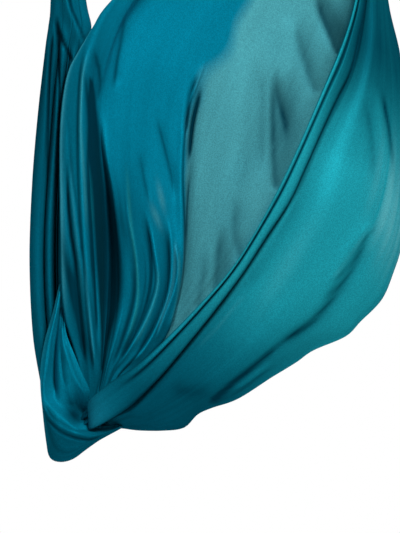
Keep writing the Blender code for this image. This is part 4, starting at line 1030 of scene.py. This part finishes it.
def build_wrap():
    rails = [view_rail(line, WRAP_ROWS) for _, line in WRAP_RAILS]
    places, numbers = across_rails(rails, [count for count, _ in WRAP_RAILS[:-1]])
    shape = places.shape[:2]
    places = places + normals_of(places) * wrinkle(shape, 9.1, 9.0, 4.0)[..., None] * 0.004
    spots = to_view(places)
    push, crease_shading = fold_relief(spots, WRAP_FOLDS)
    places = places + TO_VIEWER * push[..., None]
    share = np.linspace(0, 1, WRAP_ROWS)[None, :]
    # A painted highlight along the wrap's left edge
    edge = np.clip(1.4 - numbers[:, None], 0, 1) * eased(share, 0.52, 0.40)
    # Painted shade where the wrap turns under the strand's foot and in the hollow beside it
    below = eased(spots[..., 1] - np.interp(spots[..., 0], *zip(*WRAP_TURN)), -3.0, 4.0)
    hollow = patch(spots, (76, 414), (11, 10), -35)
    packed = 0.20 + 0.56 * below + 0.66 * hollow + np.clip(crease_shading, -0.4, 1) * 0.5 - 0.40 * edge
    obj = sheet_piece("silk_wrap_fold_cloth", places, packed=packed, thin=0.18 * edge)


# Folds over the carabiners, and knots

# A fold's arch, how far its legs end from its middle, how far they drop, and its bundle
FOLD_RADIUS = 0.0121
LEG_SPREAD = 0.0068
LEG_DROP = 0.0455
BUNDLE_HALF = (0.0058, 0.0110)  # deep and wide
BUNDLE_SIDES = 64
BUNDLE_PLEATS = 12
PLEAT_DEPTH = 0.16
# A knot's turns, with their radii from the fold's middle
KNOT_TURNS = 3
KNOT_PLEATS = 11
KNOT_INNER = 0.0225
KNOT_OUTER = 0.0302
KNOT_SIDES = 72


def swept_bundle(points):
    """A closed pleated bundle along points in the XZ plane, as a bmesh."""
    line = np.array(points, float)
    bm = bmesh.new()
    rings = []
    for number, (centre, way) in enumerate(zip(line, np.gradient(line, axis=0))):
        side = Vector((0, 1, 0)).cross(Vector(way)).normalized()
        ring = bmesh.ops.create_circle(bm, segments=BUNDLE_SIDES, radius=1.0)["verts"]
        twist = 0.5 * math.sin(number * 0.21)
        for place, vert in enumerate(ring):
            angle = math.tau * place / BUNDLE_SIDES
            pleat = abs(math.sin(BUNDLE_PLEATS * angle / 2 + twist)) ** 0.6
            reach = 1.0 - PLEAT_DEPTH * (1.0 - pleat)
            deep, wide = (half * reach for half in BUNDLE_HALF)
            outward = side * (math.sin(angle) * deep) + Vector((0, math.cos(angle) * wide, 0))
            vert.co = Vector(centre) + outward
        rings.append(ring)
    for first, second in zip(rings, rings[1:]):
        for number in range(BUNDLE_SIDES):
            after = (number + 1) % BUNDLE_SIDES
            bm.faces.new((first[number], first[after], second[after], second[number]))
    for ring in (rings[0], rings[-1]):
        bmesh.ops.contextual_create(bm, geom=ring)
    bmesh.ops.recalc_face_normals(bm, faces=bm.faces)
    return bm


def build_folds():
    """The gathered cloth laid over each lower carabiner, down into its knot."""
    angles = np.linspace(math.pi, 0, 25)
    over = [(FOLD_RADIUS * math.cos(a), 0, FOLD_RADIUS * math.sin(a)) for a in angles]
    leg = [
        (FOLD_RADIUS + (LEG_SPREAD - FOLD_RADIUS) * eased(share, 0, 1), 0, -LEG_DROP * share)
        for share in np.linspace(0, 1, 17)[1:]
    ]
    path = [*[(-x, y, z) for x, y, z in reversed(leg)], *over, *leg]
    for side, x in SIDES.items():
        bm = swept_bundle(path)
        bmesh.ops.translate(bm, vec=(x, 0, SILK_Z), verts=bm.verts)
        obj = piece(f"silk_{side}_fold_cloth", bm, "silk", "silk", [f"silk_{side}_fold"])
        shade_piece(obj, "packed", np.full(len(obj.data.vertices), 0.30))


def build_knots():
    """Turns of gathered cloth drawn tight round each fold's legs, each tilted against the next."""
    pitch = KNOT_HEIGHT / KNOT_TURNS
    for (side, x), tilt in zip(SIDES.items(), (0, 1.3)):
        bm = bmesh.new()
        for turn in range(KNOT_TURNS):
            middle = -KNOT_TOP - pitch * (turn + 0.5)
            ring = bmesh.ops.create_circle(bm, segments=KNOT_SIDES, radius=1.0)["verts"]
            for number, vert in enumerate(ring):
                angle = math.tau * number / KNOT_SIDES
                reach = 0.86 + 0.14 * abs(math.sin(KNOT_PLEATS / 2 * angle + turn)) ** 0.6
                radial = KNOT_INNER + math.cos(angle) * (KNOT_OUTER - KNOT_INNER) * reach
                vert.co = (radial, 0, middle + math.sin(angle) * pitch * 0.60 * reach)
            before = set(bm.verts) - set(ring)
            bmesh.ops.spin(
                bm, geom=[*ring, *edges_of(ring)], cent=(0, 0, 0), axis=(0, 0, 1),
                angle=math.tau, steps=KNOT_SIDES, use_merge=True,
            )
            for vert in set(bm.verts) - before:
                angle = math.atan2(vert.co.y, vert.co.x)
                uneven = 0.035 * math.sin(2 * angle + 1.9 * turn)
                swell = 1 + uneven * (vert.co.xy.length / KNOT_INNER - 0.6)
                vert.co.x *= swell
                vert.co.y *= swell
                vert.co.z += 0.0022 * math.sin(angle + turn * 2.1 + tilt)
        bmesh.ops.remove_doubles(bm, verts=bm.verts, dist=WELD)
        bmesh.ops.recalc_face_normals(bm, faces=bm.faces)
        reached = np.array([vert.co.xy.length for vert in bm.verts])
        bmesh.ops.translate(bm, vec=(x, 0, SILK_Z), verts=bm.verts)
        obj = piece(f"silk_{side}_knot_cloth", bm, "silk", "silk", [f"silk_{side}_knot"])
        # Painted shade in the crevices between the turns, darker inwards from their crests
        crest, valley = KNOT_OUTER - 0.0006, KNOT_OUTER - 0.0056
        shade_piece(obj, "packed", 0.20 + 0.75 * rising(reached, crest, valley))


# Slings

# A sling's end loops, its tacks and the pockets between them, its tape and its thread
LOOP_TAPER = 0.034
LOOP_RADIUS = 0.0077
TACK_LENGTH = 0.0090
TACK_HALF = 0.0066
POCKET_COUNT = 4
POCKET_BULGE = 0.0085
POCKET_PITCH = (SLING_LENGTH - 2 * LOOP_TAPER - TACK_LENGTH) / POCKET_COUNT
WEB_WIDTH = 0.0158
WEB_STRIPS = 4
WEB_THICKNESS = 0.0021
WEB_GAP = 0.0001
WEB_EDGE = 0.0005
THREAD_RADIUS = 0.00030
THREAD_OUT = 0.00035
THREAD_SWING = 0.0010
STITCH_ROWS = 3
STITCHES = 11


def sling_side(drop, bulged):
    """How far the tape's inner face stands from the load line at this drop."""
    from_end = min(drop, SLING_LENGTH - drop)
    if from_end < LOOP_TAPER:
        return LOOP_RADIUS * eased(from_end, LOOP_TAPER, 0)
    share = ((drop - LOOP_TAPER - TACK_LENGTH) % POCKET_PITCH) / (POCKET_PITCH - TACK_LENGTH)
    if not bulged or drop < LOOP_TAPER + TACK_LENGTH or share > 1.0:
        return 0.0
    return POCKET_BULGE * math.sin(math.pi * share) ** 2


def build_slings():
    """A closed tape round both carabiners, tacked to itself so that a row of pockets is left."""
    middle = WEB_THICKNESS / 2 + WEB_GAP
    drops = np.linspace(0, SLING_LENGTH, 150)
    down = [(-sling_side(drop, False) - middle, -drop) for drop in drops]
    up = [(sling_side(drop, True) + middle, -drop) for drop in reversed(drops)]
    turn = LOOP_RADIUS + middle
    angles = np.linspace(0, math.pi, 17)[1:-1]
    top = [(turn * math.cos(a), turn * math.sin(a)) for a in angles]
    foot = [(-turn * math.cos(a), -SLING_LENGTH - turn * math.sin(a)) for a in angles]
    path = [*top, *down, *foot, *up]
    for side, x in SIDES.items():
        bm = bmesh.new()
        ring = bmesh.ops.create_circle(bm, segments=len(path), radius=1.0)["verts"]
        for vert, (across, height) in zip(ring, path):
            vert.co = (x + across, -WEB_WIDTH / 2, SLING_TOP_Z + height)
        edges = edges_of(ring)
        for _ in range(WEB_STRIPS):
            edges = drawn_out(bm, edges, (0, WEB_WIDTH / WEB_STRIPS, 0))
        bmesh.ops.recalc_face_normals(bm, faces=bm.faces)
        sling = f"{side}_sling"
        tape = piece(f"{sling}_tape", bm, "webbing", sling, [sling])
        thicken(tape, WEB_THICKNESS)
        ease_edges(tape, WEB_EDGE)
        stitches(sling, x)


def stitches(sling, x):
    """Bar tacks: close zigzags of thread across both tapes at each end of every pocket."""
    bm = bmesh.new()
    step = 2 * TACK_HALF / STITCHES
    rows = [(tack, row) for tack in range(POCKET_COUNT + 1) for row in range(STITCH_ROWS)]
    for tack, row in rows:
        drop = LOOP_TAPER + tack * POCKET_PITCH + TACK_LENGTH * (row + 0.75) / (STITCH_ROWS + 0.5)
        for face in (-1, 1):
            out = face * (WEB_THICKNESS + THREAD_OUT)
            for leg in range(STITCHES):
                swing = THREAD_SWING if leg % 2 else -THREAD_SWING
                start = Vector((out, leg * step - TACK_HALF, -drop - swing))
                thread(bm, start, start + Vector((0, step, 2 * swing)))
    bmesh.ops.translate(bm, vec=(x, 0, SLING_TOP_Z), verts=bm.verts)
    piece(f"{sling}_stitching", bm, "thread", sling)


def thread(bm, start, end):
    """A short round stitch between two points."""
    way = end - start
    made = bmesh.ops.create_cone(
        bm, cap_ends=True, segments=6, radius1=THREAD_RADIUS, radius2=THREAD_RADIUS,
        depth=way.length * 1.15,
    )["verts"]
    bmesh.ops.rotate(bm, cent=(0, 0, 0), matrix=way.to_track_quat("Z", "Y").to_matrix(), verts=made)
    bmesh.ops.translate(bm, vec=(start + end) / 2, verts=made)


# Hardware

# The anchor's eye, and the eased edges of its plate and of the gates
EYE_RADIUS = 0.023
EYE_BAR = 0.00495
EYE_TOP = -0.0003
PLATE_EDGE = 0.0004
SMALL_EDGE = 0.0003
# Heights of a carabiner's parts from its middle, and its tongues' thickness and width
NOSE_Z = 0.0218
FOOT_Z = -0.0221
HINGE_Z = -0.0150
SLEEVE_Z = -0.0090
SLEEVE_SIDES = 72
TONGUE = (0.0039, 0.0074)
TONGUE_EDGE = 0.0008


def ease_edges(obj, width, angle=30):
    """Bevels the edges that bend by more than this angle, in degrees."""
    ease = obj.modifiers.new("edge", "BEVEL")
    ease.width = width
    ease.segments = 2
    ease.limit_method = "ANGLE"
    ease.angle_limit = math.radians(angle)


def smoothed_copy(node, name, finish, body, bevel):
    """A CAD node's shape with its corners eased and its round faces smooth."""
    bm = bmesh.new()
    bm.from_mesh(frame["nodes"][node].data)
    bmesh.ops.remove_doubles(bm, verts=bm.verts, dist=0.000005)
    bmesh.ops.dissolve_limit(bm, angle_limit=math.radians(0.5), verts=bm.verts, edges=bm.edges)
    ease_edges(piece(name, bm, finish, body, [node], 35), bevel, 35)


def drawn_out(bm, edges, way):
    """The ring of edges drawn out along a way. Gives its far ring."""
    grown = bmesh.ops.extrude_edge_only(bm, edges=edges)["geom"]
    moved = only(bmesh.types.BMVert, grown)
    bmesh.ops.translate(bm, vec=way, verts=moved)
    return only(bmesh.types.BMEdge, grown)


def bent_bar(start, direction, radius, moves, steps):
    """A closed round bar as a bmesh. A move is a way, or a half turn's centre and axis."""
    bm = bmesh.new()
    ring = bmesh.ops.create_circle(bm, segments=BAR_SIDES, radius=radius)["verts"]
    turn = Vector(direction).to_track_quat("Z", "Y").to_matrix()
    bmesh.ops.rotate(bm, cent=(0, 0, 0), matrix=turn, verts=ring)
    bmesh.ops.translate(bm, vec=start, verts=ring)
    edges = edges_of(ring)
    bmesh.ops.contextual_create(bm, geom=edges)
    for way, *axis in moves:
        if axis:
            verts = list({vert for edge in edges for vert in edge.verts})
            spun = bmesh.ops.spin(
                bm, geom=[*verts, *edges], cent=way, axis=axis[0], angle=-math.pi, steps=steps
            )["geom_last"]
            edges = only(bmesh.types.BMEdge, spun)
        else:
            edges = drawn_out(bm, edges, way)
    bmesh.ops.contextual_create(bm, geom=edges)
    bmesh.ops.remove_doubles(bm, verts=bm.verts, dist=WELD)
    bmesh.ops.recalc_face_normals(bm, faces=bm.faces)
    return bm


def build_anchors():
    body = "ceiling_anchors"
    for side, x in SIDES.items():
        plate = f"{side}_anchor_plate"
        smoothed_copy(plate, f"{plate}_finished", "steel", body, PLATE_EDGE)
        bend = EYE_Z + EYE_RADIUS
        moves = (
            ((0, 0, bend - EYE_TOP),), ((x, 0, bend), (0, 1, 0)), ((0, 0, EYE_TOP - bend),),
        )
        bm = bent_bar((x - EYE_RADIUS, 0, EYE_TOP), (0, 0, -1), EYE_BAR, moves, 32)
        eye = f"{side}_anchor_eye"
        piece(f"{eye}_bar", bm, "steel", body, [eye], sharp=40)


def build_carabiners():
    for side, x in SIDES.items():
        for level, top, body in (
            ("upper", UPPER_BOW_Z, f"{side}_upper_carabiner"),
            ("lower", SLING_FOOT_Z, f"{side}_sling"),
        ):
            prefix = f"{side}_{level}_carabiner"
            gate, pin = f"{prefix}_gate", f"{prefix}_gate_pin"
            middle = top - SIDE_HALF - BOW_RADIUS
            carabiner_body(prefix, x, middle, body)
            smoothed_copy(gate, f"{prefix}_gate_bar", "steel", gate, SMALL_EDGE)
            smoothed_copy(pin, f"{prefix}_rivet", "dark_steel", body, SMALL_EDGE)
            sleeve(prefix, x, middle)


def carabiner_body(prefix, x, middle, body):
    """The oval rod from its nose round both bows to its foot, with a tongue at either end."""
    moves = (
        ((0, 0, SIDE_HALF - NOSE_Z),), ((x, 0, middle + SIDE_HALF), (1, 0, 0)),
        ((0, 0, -2 * SIDE_HALF),), ((x, 0, middle - SIDE_HALF), (1, 0, 0)),
        ((0, 0, SIDE_HALF + FOOT_Z),),
    )
    bm = bent_bar((x, -BOW_RADIUS, middle + NOSE_Z), (0, 0, 1), ROD_RADIUS, moves, 36)
    for low, high in ((NOSE_Z - 0.0055, NOSE_Z + 0.0020), (FOOT_Z - 0.0020, HINGE_Z + 0.0036)):
        made = bmesh.ops.create_cube(bm, size=1.0)["verts"]
        bmesh.ops.scale(bm, vec=(*TONGUE, high - low), verts=made)
        bmesh.ops.translate(bm, vec=(x, -BOW_RADIUS, middle + (low + high) / 2), verts=made)
        bmesh.ops.bevel(
            bm, geom=edges_of(made), offset=TONGUE_EDGE, segments=3, profile=0.5,
            affect="EDGES", material=-1,
        )
    piece(f"{prefix}_rod", bm, "steel", body, [f"{prefix}_body"], sharp=40)


def sleeve(prefix, x, middle):
    """The screw sleeve, with a grip of fine ribs between two smooth collars."""
    inner, outer, length = 0.0059, 0.0078, 0.0235
    collar, edge, groove = 0.0030, 0.0008, 0.0004
    profile = (
        (inner, 0.0), (outer - edge, 0.0), (outer, edge), (outer, collar),
        (outer - groove, collar + groove), (outer - groove, length - collar - groove),
        (outer, length - collar), (outer, length - edge), (outer - edge, length), (inner, length),
    )
    centre = Vector((x, -BOW_RADIUS, middle + SLEEVE_Z))
    bm = bmesh.new()
    line = [bm.verts.new(centre + Vector((radius, 0, height))) for radius, height in profile]
    for first, second in zip(line, [*line[1:], line[0]]):
        bm.edges.new((first, second))
    bmesh.ops.spin(
        bm, geom=[*bm.verts, *bm.edges], cent=centre, axis=(0, 0, 1), angle=math.tau,
        steps=SLEEVE_SIDES, use_merge=True,
    )
    for vert in bm.verts:
        out = vert.co - centre
        turn = round(math.atan2(out.y, out.x) / math.tau * SLEEVE_SIDES)
        if turn % 2 and collar < out.z < length - collar and out.xy.length > inner + edge:
            vert.co -= Vector((out.x, out.y, 0)).normalized() * groove
    bmesh.ops.recalc_face_normals(bm, faces=bm.faces)
    node = f"{prefix}_sleeve"
    piece(f"{prefix}_grip", bm, "dark_steel", node, [node], sharp=30)


# Studio

# Each light panel: the look that holds its power, its place, what it points at, and its width
PANELS = (
    ("key", (0.95, -2.6, 0.9), (0.05, 0.0, -1.45), 1.1),
    ("fill", (-2.4, -4.2, -0.6), (0.0, 0.0, -1.5), 2.6),
    ("back", (0.6, 3.4, 0.4), (0.1, 0.0, -1.5), 2.6),
)
FLOOR_RADIUS = 3.4
FLOOR_Z = -2.85
AIR_EDGE = (-0.15, 0.60)


def studio_air(looks):
    """White air behind the silk and dimmer air before it, as between a window and a dim room."""
    world = bpy.data.worlds.new("studio_air")
    world.use_nodes = True
    nodes, links = world.node_tree.nodes, world.node_tree.links
    way = nodes.new("ShaderNodeTexCoord")
    turned = nodes.new("ShaderNodeSeparateXYZ")
    share = nodes.new("ShaderNodeMapRange")
    share.interpolation_type = "SMOOTHSTEP"
    limits = (*AIR_EDGE, looks.front_air, looks.air)
    for label, value in zip(("From Min", "From Max", "To Min", "To Max"), limits):
        share.inputs[label].default_value = value
    links.new(way.outputs["Generated"], turned.inputs["Vector"])
    links.new(turned.outputs["Y"], share.inputs["Value"])
    links.new(share.outputs["Result"], nodes["Background"].inputs["Strength"])
    nodes["Background"].inputs["Color"].default_value = (1.0, 1.0, 1.0, 1.0)
    return world


def build_stage(looks):
    scene = bpy.context.scene
    scene.view_settings.view_transform = "Standard"
    scene.view_settings.look = "None"
    scene.world = studio_air(looks)
    camera = bpy.data.objects.new("camera", bpy.data.cameras.new("camera"))
    camera.data.sensor_width = SENSOR
    camera.data.sensor_fit = "AUTO"
    camera.data.lens = SENSOR * CAMERA_DISTANCE / (VIEW_HEIGHT * PIXEL)
    camera.data.clip_end = 100.0
    camera.location = VIEW_CENTRE - Vector((0, CAMERA_DISTANCE, 0))
    camera.rotation_euler = (math.pi / 2, 0, 0)
    scene.collection.objects.link(camera)
    scene.camera = camera

    bm = bmesh.new()
    bmesh.ops.create_circle(bm, cap_ends=True, segments=96, radius=FLOOR_RADIUS)
    bmesh.ops.translate(bm, vec=(0, 0, FLOOR_Z), verts=bm.verts)
    new_object("studio_floor", bm, "floor")

    for name, place, aim, width in PANELS:
        lamp = bpy.data.lights.new(f"{name}_panel", "AREA")
        lamp.shape = "DISK"
        lamp.size = width
        lamp.energy = getattr(looks, name)
        obj = bpy.data.objects.new(f"{name}_panel", lamp)
        obj.location = place
        obj.rotation_euler = (Vector(aim) - Vector(place)).to_track_quat("-Z", "Y").to_euler()
        scene.collection.objects.link(obj)


# Add-on


def colour(name, of, default):
    return FloatVectorProperty(
        name=name, description=f"Colour of {of}", subtype="COLOR", size=3, default=default,
        min=0, max=1,
    )


def power(name, of, default):
    return FloatProperty(
        name=name, description=f"Power of {of} in watts", default=default, min=0, max=2000,
        unit="POWER",
    )


def strength(name, of, default):
    return FloatProperty(name=name, description=f"Strength of {of}", default=default, min=0, max=5)


class SilkLooks(bpy.types.PropertyGroup):
    """Colours, sizes and lights that can be changed before the pieces are built."""

    teal: colour("Cloth", "the cloth where layers lie together", (0.001, 0.220, 0.338))
    face_teal: colour("Outer face", "the cloth's outer face", (0.008, 0.272, 0.330))
    # Painted light: the pale colour of light through one layer and of painted highlights
    thin_and_lit_teal: colour("Thin cloth", "the cloth where one layer is stretched", (0.078, 0.380, 0.432))
    # The dark colour of packed layers and of painted shade
    packed_and_shaded_teal: colour("Packed cloth", "the cloth where many layers lie packed", (0.000, 0.028, 0.047))
    steel: colour("Steel", "the carabiners and anchors", (0.62, 0.63, 0.64))
    dark_steel: colour("Sleeves", "the screw sleeves", (0.09, 0.09, 0.10))
    webbing: colour("Webbing", "the sling's tape", (0.022, 0.022, 0.026))
    thread: colour("Thread", "the sling's stitching", (0.02, 0.30, 0.36))
    floor: colour("Floor", "the studio floor", (0.93, 0.93, 0.93))
    pod_rows: IntProperty(
        name="Pod rows", description="Rows of faces from the pod's lower end to its upper end",
        default=166, min=60, max=260,
    )
    air: strength("Air", "the light behind the silk", 1.0)
    front_air: strength("Front air", "the light before the silk", 0.20)
    key: power("Key panel", "the upper right light", 166.0)
    fill: power("Fill panel", "the left light", 8.0)
    back: power("Back panel", "the light behind the silk", 8.0)


class SILK_OT_stage(bpy.types.Operator):
    """Floor, light and camera round the silk"""

    bl_idname = "silk.stage"
    bl_label = "Studio"

    def execute(self, context):
        build_stage(context.scene.silk_looks)
        return {"FINISHED"}


class SILK_OT_anchors(bpy.types.Operator):
    """Plates and eyes at the ceiling"""

    bl_idname = "silk.anchors"
    bl_label = "Ceiling Anchors"

    def execute(self, context):
        build_anchors()
        return {"FINISHED"}


class SILK_OT_carabiners(bpy.types.Operator):
    """Rods, gates, rivets and sleeves"""

    bl_idname = "silk.carabiners"
    bl_label = "Carabiners"

    def execute(self, context):
        build_carabiners()
        return {"FINISHED"}


class SILK_OT_slings(bpy.types.Operator):
    """Tapes with their pockets and stitching"""

    bl_idname = "silk.slings"
    bl_label = "Slings"

    def execute(self, context):
        build_slings()
        return {"FINISHED"}


class SILK_OT_folds(bpy.types.Operator):
    """Cloth laid over the lower carabiners"""

    bl_idname = "silk.folds"
    bl_label = "Folds"

    def execute(self, context):
        build_folds()
        return {"FINISHED"}


class SILK_OT_knots(bpy.types.Operator):
    """Turns of cloth round the folds"""

    bl_idname = "silk.knots"
    bl_label = "Knots"

    def execute(self, context):
        build_knots()
        return {"FINISHED"}


class SILK_OT_left_strand(bpy.types.Operator):
    """Gathered cloth down the left side"""

    bl_idname = "silk.left_strand"
    bl_label = "Left Strand"

    def execute(self, context):
        build_left_strand()
        return {"FINISHED"}


class SILK_OT_wrap(bpy.types.Operator):
    """Loose fold round the strand's foot"""

    bl_idname = "silk.wrap"
    bl_label = "Wrap Fold"

    def execute(self, context):
        build_wrap()
        return {"FINISHED"}


class SILK_OT_pod(bpy.types.Operator):
    """The open pod with its rolled band and folds"""

    bl_idname = "silk.pod"
    bl_label = "Pod"

    def execute(self, context):
        build_pod(context.scene.silk_looks)
        return {"FINISHED"}


OPERATORS = (
    SILK_OT_stage, SILK_OT_anchors, SILK_OT_carabiners, SILK_OT_slings, SILK_OT_folds, SILK_OT_knots,
    SILK_OT_left_strand, SILK_OT_wrap, SILK_OT_pod,
)


class SILK_PT_panel(bpy.types.Panel):
    """Lists the pieces of the silk and the looks they are built with."""

    bl_idname = "SILK_PT_panel"
    bl_label = "Aerial Silk"
    bl_space_type = "VIEW_3D"
    bl_region_type = "UI"
    bl_category = "Silk"

    def draw(self, context):
        looks = context.scene.silk_looks
        for name in SilkLooks.__annotations__:
            self.layout.prop(looks, name)
        for made in OPERATORS:
            self.layout.operator(made.bl_idname)


CLASSES = (SilkLooks, *OPERATORS, SILK_PT_panel)


def register():
    for made in CLASSES:
        bpy.utils.register_class(made)
    bpy.types.Scene.silk_looks = PointerProperty(type=SilkLooks)


def unregister():
    del bpy.types.Scene.silk_looks
    for made in reversed(CLASSES):
        bpy.utils.unregister_class(made)


def main():
    for obj in list(bpy.context.scene.objects):
        if obj.type in ("CAMERA", "LIGHT") or obj.name == "Cube":
            bpy.data.objects.remove(obj, do_unlink=True)
    register()
    for made in OPERATORS:
        getattr(bpy.ops.silk, made.bl_idname.split(".")[1])()


if __name__ == "__main__":
    main()
